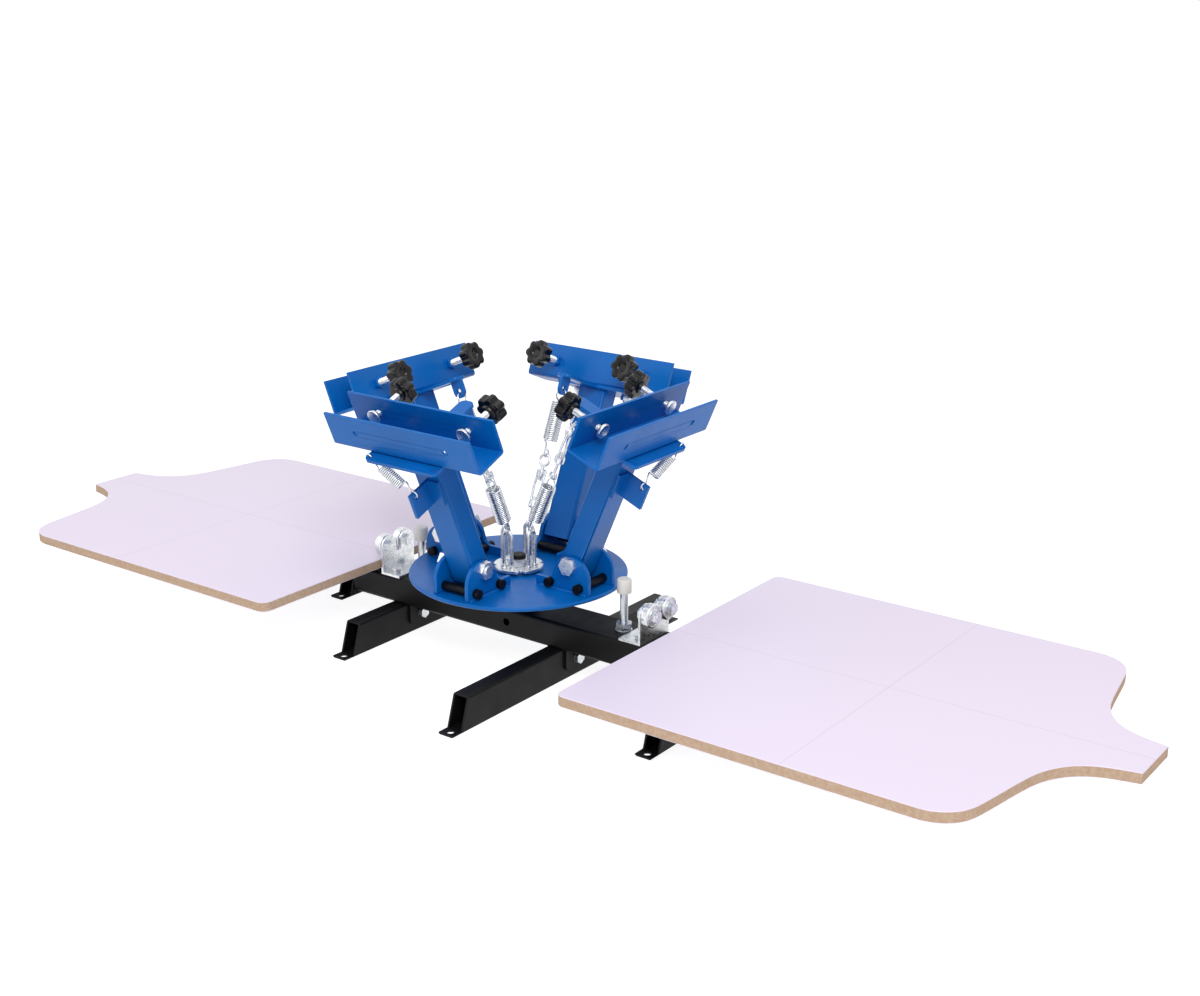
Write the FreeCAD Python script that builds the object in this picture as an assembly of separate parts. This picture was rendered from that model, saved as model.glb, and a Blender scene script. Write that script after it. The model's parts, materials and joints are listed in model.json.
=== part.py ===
import FreeCAD, Part

import math
import os

# Tabletop screen printing press with four screen arms on a turning disc and two stations.
# Millimetres. X runs along the two boards, Y towards the rear, Z up, table at zero.
# The origin is the centre of the outer box on the table.
# An arm is drawn upright in its own frame (X outward, Y along the clamp, Z up the leg, zero at
# its pivot), leaned outward, then turned about the spindle to its place.

V = FreeCAD.Vector
X_AXIS = V(1, 0, 0)
Y_AXIS = V(0, 1, 0)
Z_AXIS = V(0, 0, 1)
ZERO = V(0, 0, 0)

# Clearances
run_gap = 0.06
side_gap = 0.3
fit_gap = 0.1
cut_over = 2.0

# Main beam
beam_width = 60.0
beam_height = 33.0
beam_wall = 3.0
beam_corner = 4.0
beam_left = 247.0
beam_right = 300.0

# Feet
foot_width = 22.0
foot_height = 41.0
foot_wall = 2.5
foot_corner = 3.0
foot_tab = 15.0
foot_slant = 13.0
foot_hole = 4.5
foot_hole_inset = 8.0
foot_left_x = -172.0
foot_centre_x = 75.0
foot_right_x = 279.0
short_foot_half = 136.0
long_foot_half = 222.0
cheek_thick = 3.0
cheek_length = 44.0
cheek_drop = 30.0
cheek_corner = 8.0
foot_bolt = 4.0
foot_bolt_drop = 17.0
foot_nut_flats = 13.0
foot_nut_thick = 5.5
bolt_end = 2.0

# Boards
board_length = 550.0
board_width = 450.0
board_thick = 12.0
board_corner = 12.0
bulge_start_in = 132.0
bulge_mid_in = 103.0
bulge_mid_step = 16.0
shoulder_in = 93.0
shoulder_half_share = 0.76
hollow_start_in = 81.0
hollow_start_step = 68.0
hollow_mid_in = 61.0
hollow_mid_step = 27.0
hollow_end_in = 22.0
hollow_end_step = 5.0
neck_half = 36.0
board_inner_left = 203.0
board_inner_right = 227.0
station_travel = 12.0

# Board carriers
tongue_width = 50.0
tongue_thick = 6.0
tongue_reach = 240.0
tongue_inset = 3.0
carrier_half = 50.0
carrier_gap = 1.0
carrier_bolt = 4.0
carrier_bolt_inset = 21.0
bolt_plate = 4.0
board_screw = 2.5
board_screw_side = 16.0
board_screw_in = 110.0
board_screw_out = 210.0
board_screw_depth = 8.0
board_screw_head = 4.5
board_screw_head_thick = 2.5

# Spindle
post_flange_radius = 27.0
post_flange_thick = 6.0
post_column_radius = 20.0
post_column_top = 101.0
spindle_radius = 12.5
spindle_top = 135.0
spindle_stud_radius = 9.0
post_stud_radius = 10.0
post_stud_depth = 14.0
washer_radius = 22.0
washer_thick = 3.0
boss_radius = 30.0
spindle_nut_flats = 27.0
spindle_nut_thick = 8.0

# Carousel disc and hub
disc_radius = 131.6
disc_thick = 5.0
disc_bottom = 110.5
disc_edge = 1.2
hub_plate_radius = 30.0
hub_plate_thick = 3.5
hub_collar_radius = 17.0
hub_collar_height = 3.5
hub_notch_radius = 4.0
staple_radius = 20.0
staple_wire = 2.0
staple_half = 6.0
staple_height = 168.0
staple_nut_flats = 7.0
staple_nut_thick = 3.2

# Arm lugs
pivot_radius = 97.0
pivot_height = 148.0
pivot_bolt = 6.0
lug_thick = 5.0
lug_round = 26.0
lug_round_r = 98.0
lug_round_z = 132.0
lug_round_angle = 150.0
lug_inner_r = 47.0
lug_web_r = 64.0
lug_web_height = 11.0
lug_notch_r = 71.0
cross_bolt = 4.0
cross_sleeve = 5.5
cross_head = 5.5
cross_head_thick = 7.0
cross_outer_r = 111.0
cross_inner_r = 69.0
cross_height = 123.0
pivot_nut_flats = 19.0
pivot_nut_thick = 8.0

# Arm leg
lean_angle = 22.9
leg_width = 40.0
leg_front = 10.0
leg_back = 18.0
leg_wall = 3.0
leg_corner = 3.5
leg_tail = 20.0
bush_radius = 9.0
bush_proud = 0.7

# Registration tab on the leg
tab_thick = 4.0
tab_reach = 34.0
tab_low = 102.0
tab_high = 133.0
tab_flange = 17.0
tab_hole_inset = 8.0
tab_hole_drop = 7.0
tab_hole = 2.3

# Screen clamp
clamp_length = 211.0
clamp_width = 44.6
clamp_wall = 3.0
clamp_height = 43.2
clamp_front = 31.3
clamp_floor = 173.8
clamp_bend = 4.0
screw_pitch = 130.0
screw_rise = 22.2
blade_hole = 3.5
weld_nut_flats = 13.0
weld_nut_thick = 6.5

# Head plate between leg and clamp
head_thick = 4.0
head_half = 52.0
head_front = 44.0
head_back = 24.0
head_corner = 7.0
head_hole = 2.7
head_hole_inset = 6.5
head_bolt = 4.0
head_bolt_half = 36.0
head_bolt_x = 9.0
head_bolt_cap = 7.0
head_bolt_cap_thick = 3.5
hook_lug_reach = 76.0
hook_lug_height = 156.8
hook_lug_round = 8.5
hook_lug_hole = 3.5
hook_lug_thick = 4.0
head_tongue_half = 10.0

# Clamp screws
screw_radius = 4.0
pad_radius = 9.0
pad_thick = 4.0
knob_radius = 17.5
knob_lobes = 7
knob_thick = 13.0
knob_hub = 8.0
knob_hub_thick = 3.0
knob_face = 47.0
knob_valley_share = 0.8
knob_shoulder_share = 1.04

# Return springs and turnbuckles
wire_radius = 1.1
wire_sides = 6
coil_radius = 8.2
coil_turns = 9.5
coil_length = 48.0
long_hook = 16.0
short_hook = 15.3
eye_radius = 4.2
eye_open_angle = 18.0
lead_in = 7.0
ring_radius = 7.0
ring_tail_angle = 40.0
buckle_wire = 1.5
buckle_eye = 4.2
buckle_body = 48.0
buckle_bar_half = 4.6
buckle_bar = 1.7
buckle_end_radius = 6.2
buckle_end_thick = 9.0
buckle_rod = 2.2
buckle_rod_in = 14.0

# Head bias springs
bias_wire = 0.9
bias_coil = 6.0
bias_turns = 7.5
bias_length = 30.0
bias_eye = 4.2
side_screw_flats = 13.0
side_screw_thick = 6.0
side_screw_rise = 150.0

# Down stops
stop_gate_gap = 13.0
stop_radius = 4.75
stop_cap_radius = 8.5
stop_cap_height = 16.7
stop_nut_flats = 17.0
stop_nut_thick = 8.0
stop_washer_radius = 10.0
stop_washer_thick = 2.0
stop_tail = 14.0

# Register gates
gate_board_gap = 4.0
gate_thick = 3.0
gate_base_length = 30.0
gate_half = 29.0
roller_radius = 14.0
roller_width = 10.0
roller_height = 108.5
roller_bore = 4.0
roller_shoulder = 11.6
roller_inner = 8.5
roller_dish = 0.8
gate_notch_half = 4.5
gate_notch_low = 99.0
gate_nut_flats = 13.0
gate_nut_thick = 5.5
gate_bolt = 3.5
gate_bolt_flats = 11.0
gate_bolt_thick = 4.5

# Heights and places that follow
beam_bottom = foot_height
beam_top = beam_bottom + beam_height
board_bottom = beam_top + tongue_thick
disc_top = disc_bottom + disc_thick
hub_plate_bottom = disc_top + hub_collar_height
hub_plate_top = hub_plate_bottom + hub_plate_thick
axis_x = (board_inner_left - board_inner_right) / 2
leg_top = clamp_floor - head_thick
lug_inner_face = leg_width / 2 + bush_proud + side_gap
lug_outer_face = lug_inner_face + lug_thick
screw_z = clamp_floor + screw_rise
clamp_back = clamp_width - clamp_front
gate_r = board_inner_left - gate_board_gap
stop_r = gate_r - gate_base_length - stop_gate_gap
stop_top = pivot_height - leg_front - side_gap
roller_y = tab_thick / 2 + side_gap + roller_radius
hole_y = screw_pitch / 2

quarter_angle = 90.0
half_angle = 2 * quarter_angle
ARMS = (("front", half_angle + quarter_angle, -1), ("right", 0, 1),
        ("rear", quarter_angle, 1), ("left", half_angle, -1))
FRONT_LINKS = ("front", "right")


def fused(shapes):
    """Join touching solids into one."""
    first = shapes[0]
    for other in shapes[1:]:
        first = first.fuse(other)
    return first.removeSplitter()


def group(shapes):
    """Keep solids separate inside one node."""
    return Part.makeCompound(shapes)


def block(x0, x1, y0, y1, z0, z1):
    """A box between two corners."""
    return Part.makeBox(x1 - x0, y1 - y0, z1 - z0, V(x0, y0, z0))


def rod(radius, start, end):
    """A cylinder between two points."""
    return Part.makeCylinder(radius, (end - start).Length, start, end - start)


def ring(outer, inner, start, end):
    """A bored cylinder between two points."""
    over = (end - start).normalize() * cut_over
    return rod(outer, start, end).cut(rod(inner, start - over, end + over))


def hexagon(flats, start, end):
    """A six-sided prism between two points, given across flats."""
    corner = flats / math.sqrt(3)
    turn = FreeCAD.Rotation(Z_AXIS, end - start)
    points = []
    for side in range(7):
        angle = math.radians(60 * side)
        points.append(start + turn.multVec(V(corner * math.cos(angle), corner * math.sin(angle), 0)))
    return Part.Face(Part.makePolygon(points)).extrude(end - start)


def nut(flats, bore, start, end):
    """A bored six-sided nut between two points."""
    over = (end - start).normalize() * cut_over
    return hexagon(flats, start, end).cut(rod(bore, start - over, end + over))


def bolt(radius, flats, head_thick_value, seat, tip):
    """A hexagon bolt whose head stands behind its seat."""
    back = (seat - tip).normalize() * head_thick_value
    return fused([rod(radius, seat, tip), hexagon(flats, seat, seat + back)])


def nutted_bolt(radius, flats, thick, seat, far):
    """A hexagon bolt with its nut run up to the far face, as one solid."""
    out = (far - seat).normalize()
    whole = bolt(radius, flats, thick, seat, far + out * (thick + bolt_end))
    return fused([whole, hexagon(flats, far, far + out * thick)])


def rounded_rectangle(x0, x1, y0, y1, radius, z):
    """A closed face with four round corners at height z."""
    corners = [V(x1, y0, z), V(x1, y1, z), V(x0, y1, z), V(x0, y0, z)]
    outline = Part.makePolygon(corners + [corners[0]])
    solid = Part.Face(outline).extrude(Z_AXIS * radius)
    upright = [e for e in solid.Edges if abs(e.tangentAt(e.FirstParameter).z) > 0.9]
    solid = solid.makeFillet(radius, upright)
    flat = [f for f in solid.Faces
            if abs(f.CenterOfMass.z - z) < radius / 2 and abs(f.normalAt(0, 0).z) > 0.9]
    return flat[0]


def tube_section(x0, x1, y0, y1, wall, corner, z0, z1):
    """A rectangular tube standing along Z."""
    outer = rounded_rectangle(x0, x1, y0, y1, corner, z0).extrude(Z_AXIS * (z1 - z0))
    inner = block(x0 + wall, x1 - wall, y0 + wall, y1 - wall, z0 - cut_over, z1 + cut_over)
    return outer.cut(inner)


def laid_tube(width, height, wall, corner, length):
    """A rectangular tube lying along X from zero, centred on Y, its bottom at zero."""
    standing = tube_section(-height, 0, -width / 2, width / 2, wall, corner, 0, length)
    standing.rotate(ZERO, Y_AXIS, 90)
    return standing


def around_spindle(shape, azimuth):
    """Turn a shape about the spindle from its place on +X and move it to the spindle."""
    placed = shape.copy()
    placed.rotate(ZERO, Z_AXIS, azimuth)
    placed.translate(V(axis_x, 0, 0))
    return placed


def on_arm(shape, azimuth):
    """Move a shape from the upright arm frame to its raised place on the press."""
    placed = shape.copy()
    placed.rotate(ZERO, Y_AXIS, lean_angle)
    placed.translate(V(pivot_radius, 0, pivot_height))
    return around_spindle(placed, azimuth)


def tangent_arc(start, corner, end):
    """The arc from start to end whose end tangents meet at corner."""
    half = (end - start).Length / 2
    middle = (start + end) / 2
    rise = corner - middle
    if rise.Length < half / 1000:
        return Part.LineSegment(start, end).toShape()
    half_turn = math.atan2(rise.Length, half)
    top = middle + rise.normalize() * (half * math.tan(half_turn / 2))
    return Part.Arc(start, top, end).toShape()


def biarc(start, start_way, end, end_way):
    """Two arcs from one point and direction to another, smooth where they meet."""
    chord = end - start
    ways = start_way + end_way
    square = 2 * (1 - start_way.dot(end_way))
    along = chord.dot(ways)
    if square < 1e-9:
        reach = chord.dot(chord) / (2 * along)
    else:
        reach = (math.sqrt(along * along + square * chord.dot(chord)) - along) / square
    first = start + start_way * reach
    last = end - end_way * reach
    join = (first + last) / 2
    return [tangent_arc(start, first, join), tangent_arc(join, last, end)]


def wire_profile(centre, way, radius):
    """The many-sided outline that stands for a round wire."""
    turn = FreeCAD.Rotation(Z_AXIS, way)
    points = []
    for side in range(wire_sides + 1):
        angle = 2 * math.pi * side / wire_sides
        points.append(centre + turn.multVec(V(radius * math.cos(angle), radius * math.sin(angle), 0)))
    return Part.makePolygon(points)


def hoop(radius, wire, centre, normal):
    """A closed wire ring round centre, square to normal."""
    out = normal.cross(V(normal.z, normal.x, normal.y)).normalize()
    points = []
    for side in range(wire_sides + 1):
        angle = 2 * math.pi * (side + 0.5) / wire_sides
        points.append(centre + out * (radius + wire * math.cos(angle)) + normal * (wire * math.sin(angle)))
    return Part.Face(Part.makePolygon(points)).revolve(centre, normal, 360)


def wire_solid(stations, radius):
    """One wire through stations of point and direction."""
    edges = []
    for (start, start_way), (end, end_way) in zip(stations, stations[1:]):
        if abs((end - start).normalize().dot(start_way) - 1) < 1e-9 and (end_way - start_way).Length < 1e-9:
            edges.append(Part.LineSegment(start, end).toShape())
        else:
            edges.extend(biarc(start, start_way, end, end_way))
    path = Part.Wire(edges)
    start, start_way = stations[0]
    solid = path.makePipeShell([wire_profile(start, start_way, radius)], True, False)
    return solid, path


def least_gap(path, radius):
    """The least distance between stretches of a wire that aren't neighbours."""
    step = radius
    points = path.discretize(Distance=step)
    skip = int(math.pi * 2 * radius / step) + 2
    best = None
    for index, point in enumerate(points):
        for other in points[index + skip:]:
            far = (point - other).Length
            if best is None or far < best:
                best = far
    return best - 2 * radius


def helix_stations(centre, side, across, along, radius, rise, turns, start_turn):
    """Points and directions on a helix, a quarter turn apart."""
    quarters = int(round(turns * 4))
    pitch = rise / turns
    stations = []
    for quarter in range(quarters + 1):
        angle = 2 * math.pi * (start_turn + quarter / 4)
        out = side * math.cos(angle) + across * math.sin(angle)
        round_way = across * math.cos(angle) - side * math.sin(angle)
        point = centre + out * radius + along * (pitch * quarter / 4)
        way = round_way * (2 * math.pi * radius) + along * pitch
        stations.append((point, way.normalize()))
    return stations


def eye_stations(centre, side, along, radius, open_angle):
    """A near-closed loop round centre that leaves along the given way on the minus side."""
    stations = []
    steps = 4
    for step in range(steps + 1):
        angle = math.radians(-open_angle + (270 + open_angle) * step / steps)
        point = centre + side * (radius * math.sin(angle)) + along * (radius * math.cos(angle))
        way = side * math.cos(angle) - along * math.sin(angle)
        stations.append((point, way.normalize()))
    return stations


def ring_stations(centre, across, along, radius, tail_angle):
    """A hook over the top of centre, from the plus side round to below the minus side."""
    stations = []
    turn = 180 + tail_angle
    steps = 3
    for step in range(steps + 1):
        angle = math.radians(turn * step / steps)
        point = centre + across * (radius * math.cos(angle)) + along * (radius * math.sin(angle))
        way = along * math.cos(angle) - across * math.sin(angle)
        stations.append((point, way.normalize()))
    return stations


def link_ends():
    """The hub end and the arm end of a return link, in the plane of an arm on +X."""
    lean = math.radians(lean_angle)
    arm_x = pivot_radius + hook_lug_height * math.sin(lean) - hook_lug_reach * math.cos(lean)
    arm_z = pivot_height + hook_lug_height * math.cos(lean) + hook_lug_reach * math.sin(lean)
    return V(staple_radius, 0, staple_height), V(arm_x, 0, arm_z)


def seat_shift(hole, wire):
    """How far a wire pulled against the edge of a hole lies from the hole's centre."""
    return hole - wire - side_gap


link_low, link_high = link_ends()
link_length = (link_high - link_low).Length
link_way = (link_high - link_low).normalize()
link_side = Y_AXIS.cross(link_way)
spring_hole = eye_radius - wire_radius
buckle_hole = buckle_eye - buckle_wire
spring_length = long_hook + coil_length + short_hook
link_slack = spring_hole + buckle_hole + hook_lug_hole - 3 * side_gap
link_slack = link_slack - staple_wire - buckle_wire - wire_radius
buckle_length = link_length - spring_length - link_slack


def main_beam():
    """The long rectangular tube that carries everything."""
    beam = laid_tube(beam_width, beam_height, beam_wall, beam_corner, beam_left + beam_right)
    beam.translate(V(axis_x - beam_left, 0, beam_bottom))
    roof = beam_top - beam_wall
    low = V(0, 0, roof - cut_over)
    high = V(0, 0, beam_top + cut_over)
    holes = [(axis_x, post_stud_radius + fit_gap)]
    holes += [(axis_x + stop_r, stop_radius + fit_gap), (axis_x - stop_r, stop_radius + fit_gap)]
    for x, radius in holes:
        beam = beam.cut(rod(radius, low + V(x, 0, 0), high + V(x, 0, 0)))
    for side in (-1, 1):
        x = axis_x + side * (gate_r - gate_base_length / 2)
        for y in (-roller_y, roller_y):
            beam = beam.cut(rod(gate_bolt + fit_gap, low + V(x, y, 0), high + V(x, y, 0)))
        start = station_bolt_x(side)
        slot = carrier_bolt + fit_gap
        far = start + side * station_travel
        beam = beam.cut(rod(slot, low + V(start, 0, 0), high + V(start, 0, 0)))
        beam = beam.cut(rod(slot, low + V(far, 0, 0), high + V(far, 0, 0)))
        near_x, far_x = sorted((start, far))
        beam = beam.cut(block(near_x, far_x, -slot, slot, roof - cut_over, beam_top + cut_over))
    vent = V(axis_x + foot_hole, -beam_width / 2 - cut_over, beam_bottom + beam_height / 2)
    return beam.cut(rod(foot_hole, vent, vent + Y_AXIS * (beam_wall + 2 * cut_over)))


def station_bolt_x(side):
    """Where a board carrier is bolted to the beam."""
    inner = board_inner_right if side > 0 else board_inner_left
    return axis_x + side * (inner + tongue_inset + carrier_bolt_inset - station_travel / 2)


def foot(x, half):
    """A foot tube under the beam, cut on a slant at both ends, with a drilled tab."""
    bar = laid_tube(foot_width, foot_height, foot_wall, foot_corner, 2 * half)
    bar.rotate(ZERO, Z_AXIS, 90)
    bar.translate(V(x, -half, 0))
    for side in (-1, 1):
        end = side * half
        inner = side * (half - foot_tab)
        top = side * (half - foot_tab - foot_slant)
        over = side * (half + cut_over)
        corners = [V(0, over, foot_wall), V(0, inner, foot_wall), V(0, top, foot_height + foot_wall)]
        corners.append(V(0, over, foot_height + foot_wall))
        wedge = Part.Face(Part.makePolygon(corners + [corners[0]]))
        wedge = wedge.extrude(X_AXIS * (foot_width + 2 * cut_over))
        wedge.translate(V(x - foot_width / 2 - cut_over, 0, 0))
        bar = bar.cut(wedge)
        hole = V(x, end - side * foot_hole_inset, -cut_over)
        bar = bar.cut(rod(foot_hole, hole, hole + Z_AXIS * (foot_wall + 2 * cut_over)))
    across = V(x - foot_width / 2 - cut_over, 0, beam_bottom - foot_bolt_drop)
    return bar.cut(rod(foot_bolt + fit_gap, across, across + X_AXIS * (foot_width + 2 * cut_over)))


def foot_cheeks():
    """Plates welded under the beam, one on each side of every foot."""
    plates = []
    for x in (foot_left_x, foot_centre_x, foot_right_x):
        for side in (-1, 1):
            face = foot_width / 2 if side > 0 else -foot_width / 2 - cheek_thick
            plate = block(face, face + cheek_thick, -cheek_length / 2, cheek_length / 2,
                          beam_bottom - cheek_drop, beam_bottom)
            low = [e for e in plate.Edges
                   if e.CenterOfMass.z < beam_bottom - cheek_drop + cheek_thick
                   and abs(e.tangentAt(e.FirstParameter).x) > 0.9]
            plate = plate.makeFillet(cheek_corner, low)
            hole = V(face - cut_over, 0, beam_bottom - foot_bolt_drop)
            plate = plate.cut(rod(foot_bolt + fit_gap, hole, hole + X_AXIS * (cheek_thick + 2 * cut_over)))
            plate.translate(V(axis_x + x, 0, 0))
            plates.append(plate)
    return group(plates)


def foot_bolts():
    """A bolt and nut through each foot and its cheeks."""
    pieces = []
    face = foot_width / 2 + cheek_thick
    for x in (foot_left_x, foot_centre_x, foot_right_x):
        seat = V(axis_x + x + face, 0, beam_bottom - foot_bolt_drop)
        far = V(axis_x + x - face, 0, beam_bottom - foot_bolt_drop)
        pieces.append(nutted_bolt(foot_bolt, foot_nut_flats, foot_nut_thick, seat, far))
    return group(pieces)


def spindle_post():
    """The fixed post that the disc turns on, with its stud through the beam roof."""
    up = Z_AXIS
    foot_seat = V(axis_x, 0, beam_top)
    stud_low = foot_seat - up * post_stud_depth
    flange = rod(post_flange_radius, foot_seat, foot_seat + up * post_flange_thick)
    column = rod(post_column_radius, foot_seat, V(axis_x, 0, post_column_top))
    shoulder = V(axis_x, 0, hub_plate_top + side_gap)
    journal = rod(spindle_radius, V(axis_x, 0, post_column_top), shoulder)
    thread = rod(spindle_stud_radius, shoulder, V(axis_x, 0, spindle_top))
    thread = thread.makeChamfer(disc_edge, [thread.Edges[0]])
    stud = rod(post_stud_radius, stud_low, foot_seat)
    return fused([stud, flange, column, journal, thread])


def thrust_washer():
    """The bronze washer under the disc boss."""
    low = V(axis_x, 0, post_column_top)
    return ring(washer_radius, spindle_radius + fit_gap, low, low + Z_AXIS * washer_thick)


def spindle_nut():
    """The nut that keeps the disc on the post."""
    low = V(axis_x, 0, hub_plate_top + side_gap)
    return nut(spindle_nut_flats, spindle_stud_radius + fit_gap, low, low + Z_AXIS * spindle_nut_thick)


def carousel_disc():
    """The turning disc with its bearing boss underneath."""
    low = V(0, 0, disc_bottom)
    plate = rod(disc_radius, low, V(0, 0, disc_top))
    rims = [e for e in plate.Edges if e.Closed]
    plate = plate.makeChamfer(disc_edge, rims)
    boss = rod(boss_radius, V(0, 0, post_column_top + washer_thick + side_gap), low)
    bore = rod(spindle_radius + run_gap, V(0, 0, post_column_top), V(0, 0, disc_top + cut_over))
    return around_spindle(fused([plate, boss]).cut(bore), 0)


def hub_plate():
    """The zinc plate that anchors the return links, on its collar."""
    low = V(0, 0, disc_top)
    collar = rod(hub_collar_radius, low, V(0, 0, hub_plate_bottom))
    plate = rod(hub_plate_radius, V(0, 0, hub_plate_bottom), V(0, 0, hub_plate_top))
    shape = fused([collar, plate])
    over = Z_AXIS * cut_over
    shape = shape.cut(rod(spindle_radius + run_gap + side_gap, low - over, V(0, 0, hub_plate_top) + over))
    for name, azimuth, hand in ARMS:
        way = FreeCAD.Rotation(Z_AXIS, azimuth)
        for y in (-staple_half, staple_half):
            spot = way.multVec(V(staple_radius, y, hub_plate_bottom))
            high = spot + Z_AXIS * hub_plate_thick + over
            shape = shape.cut(rod(staple_wire + fit_gap, spot - over, high))
        turn = FreeCAD.Rotation(Z_AXIS, azimuth + quarter_angle / 2)
        edge = turn.multVec(V(hub_plate_radius, 0, hub_plate_bottom))
        shape = shape.cut(rod(hub_notch_radius, edge - over, edge + Z_AXIS * hub_plate_thick + over))
    return around_spindle(shape, 0)


def hub_staples():
    """Four wire staples that stand in the hub plate, one for each link, with their nuts."""
    pieces = []
    bend = staple_height - staple_half
    for name, azimuth, hand in ARMS:
        low = hub_plate_bottom
        left = V(staple_radius, -staple_half, low)
        right = V(staple_radius, staple_half, low)
        top = V(staple_radius, 0, staple_height)
        edges = [Part.LineSegment(left, V(staple_radius, -staple_half, bend)).toShape(),
                 Part.Arc(V(staple_radius, -staple_half, bend), top,
                          V(staple_radius, staple_half, bend)).toShape(),
                 Part.LineSegment(V(staple_radius, staple_half, bend), right).toShape()]
        profile = wire_profile(left, Z_AXIS, staple_wire)
        staple = Part.Wire(edges).makePipeShell([profile], True, False)
        nuts = []
        for y in (-staple_half, staple_half):
            seat = V(staple_radius, y, hub_plate_top)
            nuts.append(hexagon(staple_nut_flats, seat, seat + Z_AXIS * staple_nut_thick))
        pieces.append(around_spindle(fused([staple] + nuts), azimuth))
    return group(pieces)


def lug_outline():
    """The side view of a lug plate for an arm on +X."""
    low = disc_top
    web = low + lug_web_height
    outer = lug_round_r + lug_round
    start_angle = math.radians(lug_round_angle)
    arc_end = V(lug_round_r + lug_round * math.cos(start_angle), 0,
                lug_round_z + lug_round * math.sin(start_angle))
    top = V(lug_round_r + lug_round * math.cos(start_angle / 2), 0,
            lug_round_z + lug_round * math.sin(start_angle / 2))
    corner = V(outer, 0, lug_round_z)
    points = [arc_end, V(lug_notch_r, 0, web + lug_thick), V(lug_web_r, 0, web),
              V(lug_inner_r, 0, web), V(lug_inner_r, 0, low), V(outer, 0, low), corner]
    edges = [Part.Arc(corner, top, arc_end).toShape()]
    for start, end in zip(points, points[1:]):
        edges.append(Part.LineSegment(start, end).toShape())
    return Part.Face(Part.Wire(Part.__sortEdges__(edges)))


def lug_plates():
    """Two upright plates on the disc for each arm."""
    plates = []
    for name, azimuth, hand in ARMS:
        for side in (-1, 1):
            plate = lug_outline().extrude(Y_AXIS * lug_thick)
            plate.translate(V(0, lug_inner_face if side > 0 else -lug_outer_face, 0))
            holes = [(pivot_radius, pivot_height, pivot_bolt), (cross_outer_r, cross_height, cross_bolt),
                     (cross_inner_r, cross_height, cross_bolt)]
            for x, z, radius in holes:
                start = V(x, -lug_outer_face - cut_over, z)
                end = V(x, lug_outer_face + cut_over, z)
                plate = plate.cut(rod(radius + fit_gap, start, end))
            plates.append(around_spindle(plate, azimuth))
    return group(plates)


def lug_bolts():
    """Two black cross bolts with spacer sleeves between each pair of lugs."""
    pieces = []
    for name, azimuth, hand in ARMS:
        for x in (cross_outer_r, cross_inner_r):
            head_seat = V(x, lug_outer_face, cross_height)
            nut_seat = V(x, -lug_outer_face, cross_height)
            sleeve_half = lug_inner_face
            shank = rod(cross_bolt, head_seat, nut_seat - Y_AXIS * cross_head_thick)
            head = rod(cross_head, head_seat, head_seat + Y_AXIS * cross_head_thick)
            sleeve = rod(cross_sleeve, V(x, -sleeve_half, cross_height), V(x, sleeve_half, cross_height))
            end = rod(cross_head, nut_seat, nut_seat - Y_AXIS * cross_head_thick)
            pieces.append(around_spindle(fused([shank, head, sleeve, end]), azimuth))
    return group(pieces)


def pivot_bolts():
    """The bolt and nut that each leg turns on."""
    pieces = []
    for name, azimuth, hand in ARMS:
        seat = V(pivot_radius, -lug_outer_face, pivot_height)
        far = V(pivot_radius, lug_outer_face, pivot_height)
        whole = nutted_bolt(pivot_bolt, pivot_nut_flats, pivot_nut_thick, seat, far)
        pieces.append(around_spindle(whole, azimuth))
    return group(pieces)


def arm_leg(hand):
    """The leg tube with its pivot bush and the registration tab."""
    half = leg_width / 2
    tube = tube_section(-leg_back, leg_front, -half, half, leg_wall, leg_corner, -leg_tail, leg_top)
    proud = half + bush_proud
    bush = rod(bush_radius, V(0, -proud, 0), V(0, proud, 0))
    flange_y = sorted((hand * tab_thick / 2, -hand * tab_flange))
    flange = block(leg_front, leg_front + tab_thick, flange_y[0], flange_y[1], tab_low, tab_high)
    fin = block(leg_front, leg_front + tab_reach, -tab_thick / 2, tab_thick / 2, tab_low, tab_high)
    leg = fused([tube, bush, flange, fin])
    leg = leg.cut(rod(pivot_bolt + run_gap, V(0, -proud - cut_over, 0), V(0, proud + cut_over, 0)))
    spot = V(leg_front + tab_reach - tab_hole_inset, 0, tab_high - tab_hole_drop)
    return leg.cut(rod(tab_hole, spot - Y_AXIS * tab_thick, spot + Y_AXIS * tab_thick))


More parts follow.
